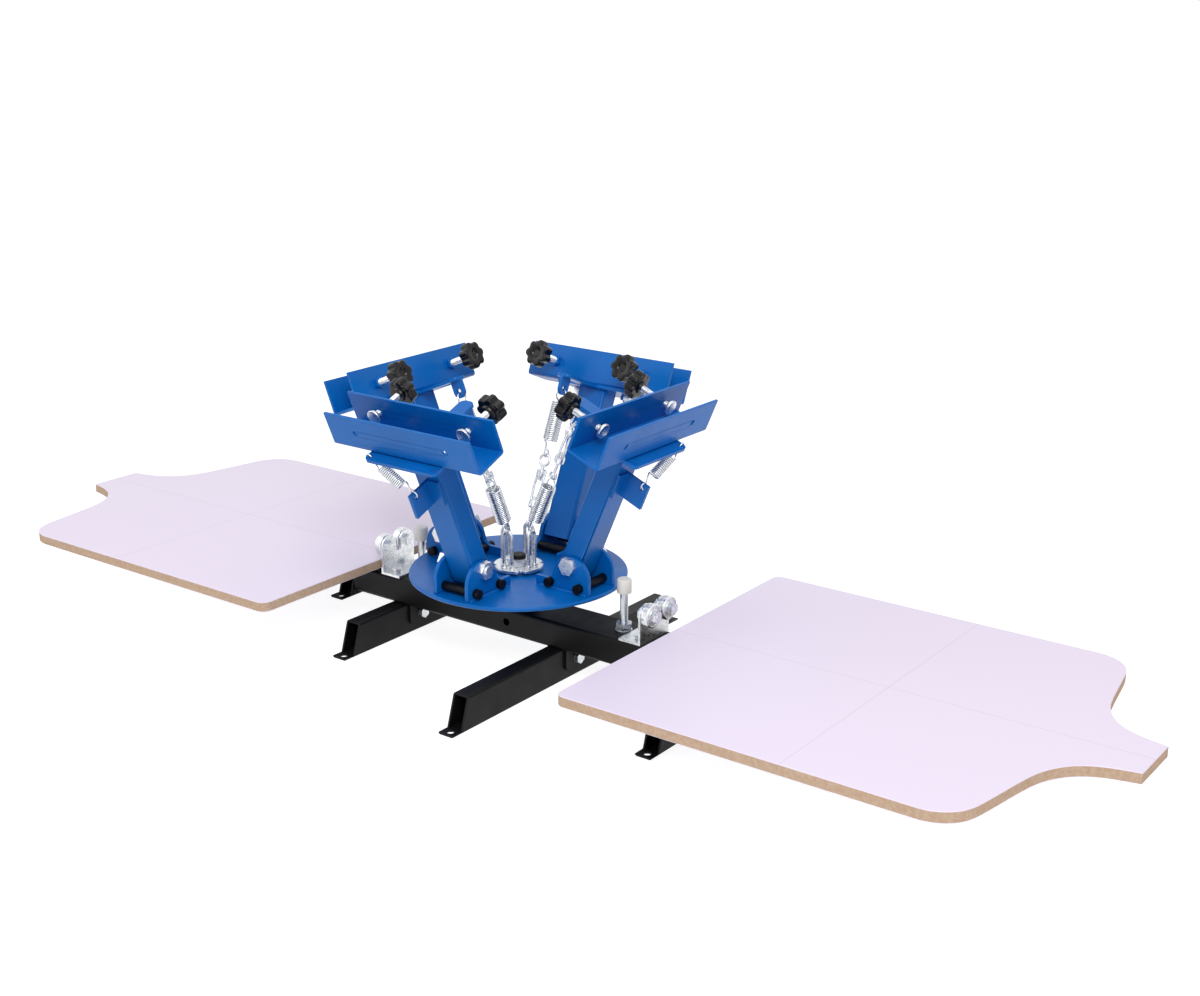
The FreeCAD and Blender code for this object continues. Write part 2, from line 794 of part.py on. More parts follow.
def head_plate():
    """The plate on the leg top, with a tongue and an ear that the return link hooks into."""
    face = rounded_rectangle(-head_back, head_front, -head_half, head_half, head_corner, leg_top)
    plate = face.extrude(Z_AXIS * head_thick)
    over = Z_AXIS * cut_over
    low = V(0, 0, leg_top)
    for side in (-1, 1):
        spot = low + V(head_front - head_hole_inset, side * (head_half - head_hole_inset), 0)
        plate = plate.cut(rod(head_hole, spot - over, spot + Z_AXIS * head_thick + over))
        spot = low + V(head_bolt_x, side * head_bolt_half, 0)
        plate = plate.cut(rod(head_bolt + fit_gap, spot - over, spot + Z_AXIS * head_thick + over))
    far = hook_lug_reach + hook_lug_round
    tongue = block(-far, -head_back + head_corner, -head_tongue_half, head_tongue_half, leg_top,
                   leg_top + head_thick)
    corners = [e for e in tongue.Edges if e.CenterOfMass.x < hook_lug_round - far
               and abs(e.CenterOfMass.y) > head_tongue_half / 2
               and abs(e.tangentAt(e.FirstParameter).dot(Z_AXIS)) > 0.5]
    tongue = tongue.makeFillet(head_corner, corners)
    centre = V(-hook_lug_reach, 0, hook_lug_height)
    half = Y_AXIS * (hook_lug_thick / 2)
    ear = block(-far, -hook_lug_reach + hook_lug_round, -hook_lug_thick / 2, hook_lug_thick / 2,
                hook_lug_height, leg_top)
    ear = fused([ear, rod(hook_lug_round, centre - half, centre + half)])
    ear = ear.cut(rod(hook_lug_hole, centre - Y_AXIS * hook_lug_thick, centre + Y_AXIS * hook_lug_thick))
    return fused([plate, tongue, ear])


def screen_clamp():
    """The channel that holds a screen frame, with a weld nut at each screw."""
    half = clamp_length / 2
    shape = block(-clamp_back, clamp_front, -half, half, clamp_floor, clamp_floor + clamp_height)
    bends = [e for e in shape.Edges
             if abs(e.CenterOfMass.z - clamp_floor) < clamp_bend / 4
             and abs(e.tangentAt(e.FirstParameter).y) > 0.9]
    shape = shape.makeFillet(clamp_bend, bends)
    inside = block(-clamp_back + clamp_wall, clamp_front - clamp_wall, -half - cut_over, half + cut_over,
                   clamp_floor + clamp_wall, clamp_floor + clamp_height + cut_over)
    shape = shape.cut(inside)
    for side in (-1, 1):
        y = side * hole_y
        out = V(clamp_front + cut_over, y, screw_z)
        shape = shape.cut(rod(blade_hole, out, out - X_AXIS * (clamp_wall + 2 * cut_over)))
        seat = V(-clamp_back, y, screw_z)
        shape = fused([shape, hexagon(weld_nut_flats, seat, seat - X_AXIS * weld_nut_thick)])
        start = seat - X_AXIS * (weld_nut_thick + cut_over)
        shape = shape.cut(rod(screw_radius + run_gap, start, seat + X_AXIS * (clamp_wall + cut_over)))
        low = V(head_bolt_x, side * head_bolt_half, clamp_floor - cut_over)
        shape = shape.cut(rod(head_bolt + fit_gap, low, low + Z_AXIS * (clamp_wall + 2 * cut_over)))
    return shape


def head_bolt_pieces():
    """Button bolts and nuts that hold a clamp on its head plate."""
    pieces = []
    for side in (-1, 1):
        seat = V(head_bolt_x, side * head_bolt_half, clamp_floor + clamp_wall)
        tip = V(head_bolt_x, side * head_bolt_half, leg_top - weld_nut_thick - bolt_end)
        cap = rod(head_bolt_cap, seat, seat + Z_AXIS * head_bolt_cap_thick)
        rims = [e for e in cap.Edges if e.Closed and e.CenterOfMass.z > seat.z + head_bolt_cap_thick / 2]
        cap = cap.makeChamfer(head_bolt_cap_thick / 2, rims)
        top = V(head_bolt_x, side * head_bolt_half, leg_top)
        lock = hexagon(weld_nut_flats, top, top - Z_AXIS * weld_nut_thick)
        pieces.append(fused([cap, rod(head_bolt, seat, tip), lock]))
    return pieces


def bias_pieces(hand):
    """The small spring from the head plate's corner hole to the tab's hole, and the leg's side screw."""
    out = Y_AXIS * hand
    top_eye = V(head_front - head_hole_inset, 0, leg_top + head_thick / 2)
    top_eye = top_eye + out * (head_half + bias_wire + side_gap - bias_eye)
    low_eye = V(leg_front + tab_reach - tab_hole_inset, 0, tab_high + bias_wire + side_gap - bias_eye)
    top_end = top_eye - out * bias_eye
    low_end = low_eye + out * bias_eye
    way = (low_end - top_end).normalize()
    side = (X_AXIS - way * way.x).normalize()
    across = way.cross(side) * -hand
    start = (top_end + low_end) / 2 - way * (bias_length / 2)
    coil = helix_stations(start, side, across, way, bias_coil, bias_length, bias_turns, 0)
    top_loop = eye_stations(top_eye, out, Z_AXIS * -1, bias_eye, eye_open_angle)
    low_loop = eye_stations(low_eye, out * -1, Z_AXIS, bias_eye, eye_open_angle)
    low_loop = [(point, back * -1) for point, back in reversed(low_loop)]
    spring, path = wire_solid(top_loop + coil + low_loop, bias_wire)
    seat = V(0, hand * leg_width / 2, side_screw_rise)
    side_screw = hexagon(side_screw_flats, seat, seat + Y_AXIS * (hand * side_screw_thick))
    return [spring, side_screw], least_gap(path, bias_wire)


def knob_outline(x):
    """A lobed outline across X: a round lobe and a hollow for each seventh."""
    step = 2 * math.pi / knob_lobes
    valley = knob_radius * knob_valley_share
    edges = []
    for lobe in range(knob_lobes):
        places = []
        shoulder = valley * knob_shoulder_share
        for share, radius in ((0.0, shoulder), (0.25, knob_radius), (0.5, shoulder),
                              (0.75, valley), (1.0, shoulder)):
            angle = step * (lobe + share)
            places.append(V(x, radius * math.cos(angle), radius * math.sin(angle)))
        edges.append(Part.Arc(places[0], places[1], places[2]).toShape())
        edges.append(Part.Arc(places[2], places[3], places[4]).toShape())
    return Part.Face(Part.Wire(edges))


def clamp_screw(side):
    """The lobed knob and the screw with its round pad, as two solids."""
    y = side * hole_y
    outer = -knob_face - knob_thick
    knob = knob_outline(outer).extrude(X_AXIS * knob_thick)
    hub = rod(knob_hub, V(-knob_face, 0, 0), V(-knob_face + knob_hub_thick, 0, 0))
    knob = fused([knob, hub])
    socket = V(outer + knob_thick / 2, 0, 0)
    knob = knob.cut(rod(screw_radius, socket, socket + X_AXIS * (knob_thick + knob_hub_thick)))
    pad_back = V(0 - pad_thick, 0, 0)
    shank = rod(screw_radius, socket, V(0, 0, 0))
    pad = rod(pad_radius, pad_back, V(0, 0, 0))
    stem = fused([shank, pad])
    pieces = group([knob, stem])
    pieces.translate(V(0, y, screw_z))
    return pieces


def spring_solid(origin):
    """A return spring from its long hook at origin to its short hook, along the link."""
    eye = eye_stations(origin, link_side, link_way, eye_radius, eye_open_angle)
    rod_top = origin - link_side * eye_radius + link_way * (long_hook - lead_in)
    start = origin + link_way * long_hook
    coil = helix_stations(start, link_side, Y_AXIS, link_way, coil_radius, coil_length, coil_turns, 0.5)
    top = start + link_way * (coil_length + short_hook - ring_radius)
    hook = ring_stations(top, Y_AXIS, link_way, ring_radius, ring_tail_angle)
    solid, path = wire_solid(eye + [(rod_top, link_way)] + coil + hook, wire_radius)
    return solid, least_gap(path, wire_radius)


def turnbuckle(origin):
    """An open turnbuckle from its eye at origin to its ring, along the link."""
    at = lambda far: origin + link_way * far
    rod_length = (buckle_length - buckle_body) / 2
    top = buckle_length - rod_length
    ends = [rod(buckle_end_radius, at(rod_length), at(rod_length + buckle_end_thick)),
            rod(buckle_end_radius, at(top - buckle_end_thick), at(top))]
    bars = []
    for side in (-1, 1):
        shift = Y_AXIS * (side * buckle_bar_half)
        bars.append(rod(buckle_bar, at(rod_length + buckle_end_thick / 2) + shift,
                        at(top - buckle_end_thick / 2) + shift))
    rods = [rod(buckle_rod, at(buckle_eye), at(rod_length + buckle_rod_in)),
            rod(buckle_rod, at(top - buckle_rod_in), at(buckle_length - 2 * ring_radius))]
    eye = hoop(buckle_eye, buckle_wire, origin, Y_AXIS)
    loop = hoop(ring_radius, buckle_wire, at(buckle_length - ring_radius), link_side)
    return fused(ends + bars + rods + [eye, loop])


def down_stops():
    """Two stop bolts with nylon caps, where a lowered leg rests."""
    pieces = []
    for side in (-1, 1):
        foot_seat = V(axis_x + side * stop_r, 0, beam_top)
        washer_top = foot_seat + Z_AXIS * stop_washer_thick
        cap_low = V(foot_seat.x, 0, stop_top - stop_cap_height)
        cap = rod(stop_cap_radius, cap_low, V(foot_seat.x, 0, stop_top))
        rims = [e for e in cap.Edges if e.Closed and e.CenterOfMass.z > cap_low.z + disc_edge]
        cap = cap.makeChamfer(disc_edge, rims)
        pieces.append(cap)
        pieces.append(rod(stop_radius, foot_seat - Z_AXIS * stop_tail, cap_low))
        pieces.append(ring(stop_washer_radius, stop_radius, foot_seat, washer_top))
        pieces.append(nut(stop_nut_flats, stop_radius, washer_top, washer_top + Z_AXIS * stop_nut_thick))
    return group(pieces)


def gate_bracket(azimuth):
    """An angle bracket on the beam whose two round ears carry the rollers."""
    inner = gate_r - gate_base_length
    base = block(inner, gate_r, -gate_half, gate_half, beam_top, beam_top + gate_thick)
    back = gate_r - gate_thick
    wall = block(back, gate_r, -gate_half, gate_half, beam_top, roller_height)
    ears = []
    for y in (-roller_y, roller_y):
        ears.append(rod(gate_half - roller_y, V(back, y, roller_height), V(gate_r, y, roller_height)))
    shape = fused([base, wall] + ears)
    shape = shape.cut(block(back - cut_over, gate_r + cut_over, -gate_notch_half, gate_notch_half,
                            gate_notch_low, roller_height + roller_radius))
    for y in (-roller_y, roller_y):
        start = V(back - cut_over, y, roller_height)
        shape = shape.cut(rod(roller_bore + fit_gap, start, start + X_AXIS * (gate_thick + 2 * cut_over)))
        low = V(gate_r - gate_base_length / 2, y, beam_top - cut_over)
        shape = shape.cut(rod(gate_bolt + fit_gap, low, low + Z_AXIS * (gate_thick + 2 * cut_over)))
    return around_spindle(shape, azimuth)


def gate_fixings():
    """Roller axle bolts with spacers and nuts, and the bolts that hold the brackets."""
    pieces = []
    for azimuth in (0, half_angle):
        for y in (-roller_y, roller_y):
            back = V(gate_r - gate_thick, y, roller_height)
            far = V(gate_r + roller_width + 2 * side_gap, y, roller_height)
            tip = far + X_AXIS * (gate_nut_thick + side_gap)
            axle = fused([bolt(roller_bore, gate_nut_flats, gate_nut_thick, back, tip),
                          hexagon(gate_nut_flats, far, far + X_AXIS * gate_nut_thick)])
            base_seat = V(gate_r - gate_base_length / 2, y, beam_top + gate_thick)
            base_tip = V(base_seat.x, y, beam_top - 2 * beam_wall)
            base_bolt = bolt(gate_bolt, gate_bolt_flats, gate_bolt_thick, base_seat, base_tip)
            for piece in (axle, base_bolt):
                pieces.append(around_spindle(piece, azimuth))
    return group(pieces)


def gate_roller(azimuth, side):
    """A ball-bearing roller with a dished outer face."""
    y = side * roller_y
    start = V(gate_r + side_gap, y, roller_height)
    end = start + X_AXIS * roller_width
    roller = rod(roller_radius, start, end)
    rims = [e for e in roller.Edges if e.Closed]
    roller = roller.makeChamfer(disc_edge, rims)
    dish = ring(roller_shoulder, roller_inner, end + X_AXIS * cut_over, end - X_AXIS * roller_dish)
    roller = roller.cut(dish)
    roller = roller.cut(rod(roller_bore + run_gap, start - X_AXIS * cut_over, end + X_AXIS * cut_over))
    return around_spindle(roller, azimuth)


def board(side):
    """A printing board: straight sides, rounded shoulders and a narrow neck."""
    inner = board_inner_right if side > 0 else board_inner_left
    half = board_width / 2
    edges = []
    for flip in (1, -1):
        at = lambda x, y: V(x, flip * y, 0)
        shoulder_half = half * shoulder_half_share
        hollow_end_half = neck_half + hollow_end_step
        run = [at(0, half - board_corner), at(board_corner, half), at(board_length - bulge_start_in, half),
               at(board_length - shoulder_in, shoulder_half),
               at(board_length - hollow_start_in, neck_half + hollow_start_step),
               at(board_length - hollow_end_in, hollow_end_half), at(board_length, neck_half)]
        turn = board_corner * (1 - math.sqrt(0.5))
        edges.append(Part.Arc(run[0], at(turn, half - turn), run[1]).toShape())
        edges.append(Part.LineSegment(run[1], run[2]).toShape())
        bulge = at(board_length - bulge_mid_in, half - bulge_mid_step)
        edges.append(Part.Arc(run[2], bulge, run[3]).toShape())
        edges.append(Part.LineSegment(run[3], run[4]).toShape())
        hollow = at(board_length - hollow_mid_in, neck_half + hollow_mid_step)
        edges.append(Part.Arc(run[4], hollow, run[5]).toShape())
        edges.append(Part.LineSegment(run[5], run[6]).toShape())
    edges.append(Part.LineSegment(V(0, half - board_corner, 0), V(0, board_corner - half, 0)).toShape())
    edges.append(Part.LineSegment(V(board_length, neck_half, 0), V(board_length, -neck_half, 0)).toShape())
    slab = Part.Face(Part.Wire(Part.__sortEdges__(edges))).extrude(Z_AXIS * board_thick)
    for x, y in board_screw_places():
        low = V(x, y, 0)
        slab = slab.cut(rod(board_screw, low, low + Z_AXIS * board_screw_depth))
    slab.translate(V(inner, 0, board_bottom))
    return around_spindle(slab, 0 if side > 0 else half_angle)


def board_screw_places():
    """Where a board is screwed to its carrier, from the board's inner edge."""
    return [(x, y) for x in (board_screw_in, board_screw_out) for y in (-board_screw_side, board_screw_side)]


def carrier(side):
    """A flat tongue on the beam with a short cross tube beyond the beam end."""
    inner = board_inner_right if side > 0 else board_inner_left
    beam_end = beam_right if side > 0 else beam_left
    start = inner + tongue_inset
    half = tongue_width / 2
    tongue = block(start, start + tongue_reach, -half, half, beam_top, board_bottom)
    for x, y in board_screw_places():
        low = V(inner + x, y, beam_top)
        high = low + Z_AXIS * (tongue_thick + cut_over)
        tongue = tongue.cut(rod(board_screw + fit_gap, low - Z_AXIS * cut_over, high))
    cross = foot(0, carrier_half)
    cross.translate(V(beam_end + carrier_gap + foot_width / 2, 0, beam_top - foot_height))
    spot = V(station_bolt_x(side) - axis_x, 0, beam_top - cut_over)
    spot.x = abs(spot.x)
    tongue = tongue.cut(rod(carrier_bolt + fit_gap, spot, spot + Z_AXIS * (tongue_thick + 2 * cut_over)))
    return around_spindle(fused([tongue, cross]), 0 if side > 0 else half_angle)


def carrier_fixings(side):
    """The bolt from inside the beam into the tongue, and the screws into the board."""
    inner = board_inner_right if side > 0 else board_inner_left
    x = abs(station_bolt_x(side) - axis_x)
    under = V(x, 0, beam_top - beam_wall - side_gap)
    shank = rod(carrier_bolt, under, V(x, 0, board_bottom))
    plate = block(x - 2 * bolt_plate, x + 2 * bolt_plate, -2 * bolt_plate, 2 * bolt_plate,
                  under.z - bolt_plate, under.z)
    pieces = [fused([shank, plate])]
    for far, y in board_screw_places():
        low = V(inner + far, y, beam_top)
        screw = fused([rod(board_screw, low, low + Z_AXIS * (tongue_thick + board_screw_depth)),
                       rod(board_screw_head, low - Z_AXIS * board_screw_head_thick, low)])
        pieces.append(screw)
    return around_spindle(group(pieces), 0 if side > 0 else half_angle)


def build_nodes():
    """Every node by name."""
    nodes = {"main_beam": main_beam(), "foot_centre": foot(axis_x + foot_centre_x, long_foot_half)}
    nodes["side_feet"] = group([foot(axis_x + foot_left_x, short_foot_half),
                                foot(axis_x + foot_right_x, short_foot_half)])
    nodes["foot_cheeks"] = foot_cheeks()
    nodes["foot_bolts"] = foot_bolts()
    nodes["spindle_post"] = spindle_post()
    nodes["thrust_washer"] = thrust_washer()
    nodes["spindle_nut"] = spindle_nut()
    nodes["down_stops"] = down_stops()
    nodes["gate_brackets"] = group([gate_bracket(0), gate_bracket(half_angle)])
    nodes["gate_fixings"] = gate_fixings()
    for name, azimuth, side in (("right", 0, 1), ("left", half_angle, -1)):
        nodes["gate_roller_%s_front" % name] = gate_roller(azimuth, -side)
        nodes["gate_roller_%s_rear" % name] = gate_roller(azimuth, side)
        nodes["board_%s" % name] = board(side)
        nodes["board_carrier_%s" % name] = carrier(side)
        nodes["carrier_fixings_%s" % name] = carrier_fixings(side)
    nodes["carousel_disc"] = carousel_disc()
    nodes["hub_plate"] = hub_plate()
    nodes["hub_staples"] = hub_staples()
    nodes["lug_plates"] = lug_plates()
    nodes["lug_bolts"] = lug_bolts()
    nodes["pivot_bolts"] = pivot_bolts()
    for name, azimuth, hand in ARMS:
        nodes["arm_leg_%s" % name] = on_arm(arm_leg(hand), azimuth)
        nodes["head_plate_%s" % name] = on_arm(head_plate(), azimuth)
        nodes["screen_clamp_%s" % name] = on_arm(screen_clamp(), azimuth)
        tied, bias_gap = bias_pieces(hand)
        nodes["head_fittings_%s" % name] = on_arm(group(head_bolt_pieces() + tied), azimuth)
        for end, side in (("a", -1), ("b", 1)):
            nodes["clamp_screw_%s_%s" % (name, end)] = on_arm(clamp_screw(side), azimuth)
        if name in FRONT_LINKS:
            low = link_low + link_way * seat_shift(spring_hole, staple_wire)
            spring, gap = spring_solid(low)
            low = low + link_way * (spring_length + seat_shift(buckle_hole, wire_radius))
            buckle = turnbuckle(low)
        else:
            low = link_low + link_way * seat_shift(buckle_hole, staple_wire)
            buckle = turnbuckle(low)
            low = low + link_way * (buckle_length + seat_shift(spring_hole, buckle_wire))
            spring, gap = spring_solid(low)
        nodes["return_spring_%s" % name] = around_spindle(spring, azimuth)
        nodes["turnbuckle_%s" % name] = around_spindle(buckle, azimuth)
        print("least wire gap", name, round(gap, 2), "small spring", round(bias_gap, 2))
    return nodes


os.makedirs("parts", exist_ok=True)
nodes = build_nodes()
for node_name, node_shape in nodes.items():
    node_shape.exportStep("parts/%s.step" % node_name)
print("nodes", len(nodes))
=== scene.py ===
import json
import logging
import math
from dataclasses import dataclass, field
from enum import Enum, auto
from typing import Any, Callable, Dict, Iterable, List, Sequence, Tuple

import bpy
import numpy as np
from mathutils import Matrix, Vector

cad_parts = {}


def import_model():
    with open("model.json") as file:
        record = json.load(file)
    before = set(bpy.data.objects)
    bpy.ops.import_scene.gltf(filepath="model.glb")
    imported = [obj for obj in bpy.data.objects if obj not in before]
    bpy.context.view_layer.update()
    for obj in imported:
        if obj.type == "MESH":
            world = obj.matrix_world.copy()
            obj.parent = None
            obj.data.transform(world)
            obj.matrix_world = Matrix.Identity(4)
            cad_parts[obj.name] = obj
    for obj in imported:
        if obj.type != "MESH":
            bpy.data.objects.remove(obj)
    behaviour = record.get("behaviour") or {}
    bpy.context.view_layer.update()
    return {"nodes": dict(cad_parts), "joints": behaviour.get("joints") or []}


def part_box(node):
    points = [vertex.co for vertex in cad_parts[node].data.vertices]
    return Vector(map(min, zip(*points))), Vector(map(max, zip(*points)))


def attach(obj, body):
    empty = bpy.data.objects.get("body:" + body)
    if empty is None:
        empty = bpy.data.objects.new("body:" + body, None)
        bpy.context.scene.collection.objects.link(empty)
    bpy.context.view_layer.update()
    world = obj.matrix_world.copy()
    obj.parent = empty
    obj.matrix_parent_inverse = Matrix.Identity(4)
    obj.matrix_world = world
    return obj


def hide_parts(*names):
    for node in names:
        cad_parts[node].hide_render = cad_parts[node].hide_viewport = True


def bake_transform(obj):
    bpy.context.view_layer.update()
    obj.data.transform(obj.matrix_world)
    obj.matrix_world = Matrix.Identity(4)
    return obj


MM = 0.001
FULL_TURN = 2 * math.pi
QUARTER_TURN = math.pi / 2
X_AXIS, Y_AXIS, Z_AXIS = np.eye(3)
ODD_WAY = (0.3, 0.5, 0.81)  # a direction that no wire starts in
SIDES = (-1, 1)
STRAIGHT = 1e-4  # a bend in radians that counts as none
CORE_RADIUS = 0.3  # where a turned profile closes near its axis, in millimetres
THREAD_STEPS = 6  # rows of points in one pitch of a thread
EYE_RADIUS = 4.2  # of every bent eye, to the middle of its wire
EYE_OPEN_DEG = 18.0  # how far an eye turns on past its top
LEG_TOP = 169.8  # of an arm's leg tube, above the pivot
LEG_HALF = 20.0  # half the leg tube's width
SHARP_DEG = 38.0  # edges that turn by more than this stay sharp
SHARP_THREAD_DEG = 50.0
SHARP_WELD_DEG = 60.0
PHOTO_WIDTH_PX = 1200
BOARD_LINE_MM = 268.0  # from a board's inner edge to its cross line
STOP_CAP_MM = 16.7  # from the lower edge of a stop's nylon cap to its top

LOG = logging.getLogger("press")
Array = np.ndarray
Color = Tuple[float, float, float, float]
Point = Tuple[float, float, float]
Profile = Tuple[Tuple[float, float], ...]
Material = bpy.types.Material
Socket = bpy.types.NodeSocket
Thing = bpy.types.Object


def linear(code: str) -> Color:
    """Turn an sRGB hex code into the linear colour that shaders take.

    Args:
        code: six hex digits after a hash sign.

    Returns:
        Red, green, blue and an alpha of one. Each channel is (c / 12.92) below 0.04045 and
        ((c + 0.055) / 1.055) to the power 2.4 above it.
    """
    values = [int(code[i : i + 2], 16) / 255 for i in (1, 3, 5)]
    turned = [v / 12.92 if v <= 0.04045 else ((v + 0.055) / 1.055) ** 2.4 for v in values]
    return (turned[0], turned[1], turned[2], 1.0)


def add_node(tree: bpy.types.NodeTree, kind: str, settings: Dict[str, Any],
             inputs: Dict[Any, Any]) -> bpy.types.Node:
    """Add one shader node, set it up and wire it.

    Args:
        tree: the node tree of a material or of the world.
        kind: the node's type name.
        settings: attributes of the node.
        inputs: a value or an output socket for each input, by name or number.

    Returns:
        The new node.
    """
    node = tree.nodes.new(kind)
    for name, value in settings.items():
        setattr(node, name, value)
    for key, value in inputs.items():
        if isinstance(value, bpy.types.NodeSocket):
            tree.links.new(value, node.inputs[key])
        else:
            node.inputs[key].default_value = value
    return node


class Shader:
    """The node tree of a material or of the world, with the patterns that the finishes use.

    Values, shares and colours may be plain ones or sockets.
    """

    def __init__(self, owner: Any) -> None:
        """Empty the owner's tree.

        Args:
            owner: a material or a world.
        """
        owner.use_nodes = True
        self.owner = owner
        self.tree = owner.node_tree
        self.tree.nodes.clear()

    def add(self, kind: str, inputs: Dict[Any, Any], **settings: Any) -> Any:
        """Add a shader node and give its outputs."""
        return add_node(self.tree, "ShaderNode" + kind, settings, inputs).outputs

    def place(self) -> Socket:
        """Give the point in the piece's own coordinates, in metres."""
        return self.add("TexCoord", {})["Object"]

    def noise(self, size_mm: float, detail: float = 3.0) -> Socket:
        """Add noise, about 0 to 1, with patches of one size and some finer layers."""
        inputs = {"Vector": self.place(), "Scale": 1 / (size_mm * MM), "Detail": detail}
        return self.add("TexNoise", inputs)[0]

    def ranged(self, value: Socket, low: float, high: float, out_low: float,
               out_high: float) -> Socket:
        """Map the range from low to high to another one, held at both ends."""
        return self.add("MapRange", {0: value, 1: low, 2: high, 3: out_low, 4: out_high})[0]

    def clouds(self, size_mm: float, out_low: float, out_high: float, detail: float = 3.0,
               low: float = 0.3, high: float = 0.7) -> Socket:
        """Spread the part of a noise pattern from low to high between two values."""
        return self.ranged(self.noise(size_mm, detail), low, high, out_low, out_high)

    def mixed(self, share: Any, first: Any, second: Any) -> Socket:
        """Mix two colours, where the share is that of the second."""
        return self.add("Mix", {0: share, 6: first, 7: second}, data_type="RGBA")[2]

    def maths(self, operation: str, first: Any, second: Any = 0.0) -> Socket:
        """Work out one value from two."""
        return self.add("Math", {0: first, 1: second}, operation=operation)[0]

    def within(self, value: Socket, centre_mm: float, half_mm: float) -> Socket:
        """Give one where a coordinate lies near a centre, |v - c| < h, and zero elsewhere."""
        off = self.maths("ABSOLUTE", self.maths("SUBTRACT", value, centre_mm * MM))
        return self.maths("LESS_THAN", off, half_mm * MM)

    def bumped(self, height: Socket, depth_mm: float) -> Socket:
        """Turn a height pattern, 0 to 1, into a bent normal."""
        return self.add("Bump", {"Height": height, "Distance": depth_mm * MM, "Strength": 1.0})[0]

    def shaded(self, inputs: Dict[str, Any]) -> Material:
        """Finish the material with one surface shader."""
        self.add("OutputMaterial", {"Surface": self.add("BsdfPrincipled", inputs)[0]})
        return self.owner

    def seen_directly(self) -> Socket:
        """Tell the rays that see from the rays that light.

        Returns:
            One for camera, glossy and transmission rays and zero for the rest.
        """
        rays = self.add("LightPath", {})
        seen = self.maths("MAXIMUM", rays["Is Camera Ray"], rays["Is Glossy Ray"])
        return self.maths("MAXIMUM", seen, rays["Is Transmission Ray"])


@dataclass(frozen=True)
class PowderCoat:
    """Polyester powder baked on steel: an even colour with a fine orange peel and a soft gloss."""

    name: str
    shade: str
    deep_shade: str
    roughness: float
    gloss: float
    rough_spread: Tuple[float, float] = (0.9, 1.15)
    peel_mm: float = 1.6
    peel_depth_mm: float = 0.02
    cloud_mm: float = 70.0

    def material(self) -> Material:
        """Build the finish: a slow drift of colour and a peel drawn a little coarse.

        Returns:
            The material.
        """
        shader = Shader(bpy.data.materials.new(self.name))
        drift = shader.clouds(self.cloud_mm, 0.0, 1.0, detail=2.0)
        glossy, matt = (self.roughness * spread for spread in self.rough_spread)
        return shader.shaded({
            "Base Color": shader.mixed(drift, linear(self.shade), linear(self.deep_shade)),
            "Roughness": shader.clouds(self.cloud_mm / 3, glossy, matt),
            "Specular IOR Level": self.gloss,
            "Normal": shader.bumped(shader.noise(self.peel_mm, 1.0), self.peel_depth_mm),
        })


@dataclass(frozen=True)
class PlatedSteel:
    """Bright zinc plate: a pale blue-grey metal whose gloss is cloudy from the bath."""

    name: str
    shade: str = "#ECEEF0"
    dull_shade: str = "#D8DBDE"
    roughness: float = 0.22
    cloud_mm: float = 6.0
    dullest: float = 2.2
    scratch_mm: float = 0.5
    scratch_depth_mm: float = 0.002

    def material(self) -> Material:
        """Build the finish: metal with clouds of two greys and faint handling marks.

        Returns:
            The material.
        """
        shader = Shader(bpy.data.materials.new(self.name))
        cloud = shader.clouds(self.cloud_mm, 0.0, 1.0, low=0.35)
        rough = self.roughness
        return shader.shaded({
            "Base Color": shader.mixed(cloud, linear(self.shade), linear(self.dull_shade)),
            "Metallic": 1.0,
            "Roughness": shader.clouds(self.cloud_mm / 2, rough, rough * self.dullest, high=0.75),
            "Normal": shader.bumped(shader.noise(self.scratch_mm, 1.0), self.scratch_depth_mm),
        })


@dataclass(frozen=True)
class MouldedPlastic:
    """Moulded plastic: one deep colour, a fine mould texture and a broad soft gloss."""

    name: str
    shade: str
    roughness: float
    gloss: float
    rough_spread: Tuple[float, float] = (0.9, 1.2)
    grain_mm: float = 0.7
    grain_depth_mm: float = 0.015
    worn_mm: float = 12.0
    worn_share: float = 0.35
    pale_gain: float = 1.5
    pale_lift: float = 0.004

    def material(self) -> Material:
        """Build the finish: the colour, worn a little paler in places, under a fine grain.

        Returns:
            The material.
        """
        shader = Shader(bpy.data.materials.new(self.name))
        shade = linear(self.shade)
        grain = shader.noise(self.grain_mm, 2.0)
        worn = shader.clouds(self.worn_mm, 0.0, self.worn_share, high=0.8)
        pale = tuple(v * self.pale_gain + self.pale_lift for v in shade[:3]) + (1.0,)
        glossy, matt = (self.roughness * spread for spread in self.rough_spread)
        return shader.shaded({
            "Base Color": shader.mixed(worn, shade, pale),
            "Roughness": shader.ranged(grain, 0.3, 0.7, glossy, matt),
            "Specular IOR Level": self.gloss,
            "Normal": shader.bumped(grain, self.grain_depth_mm),
        })


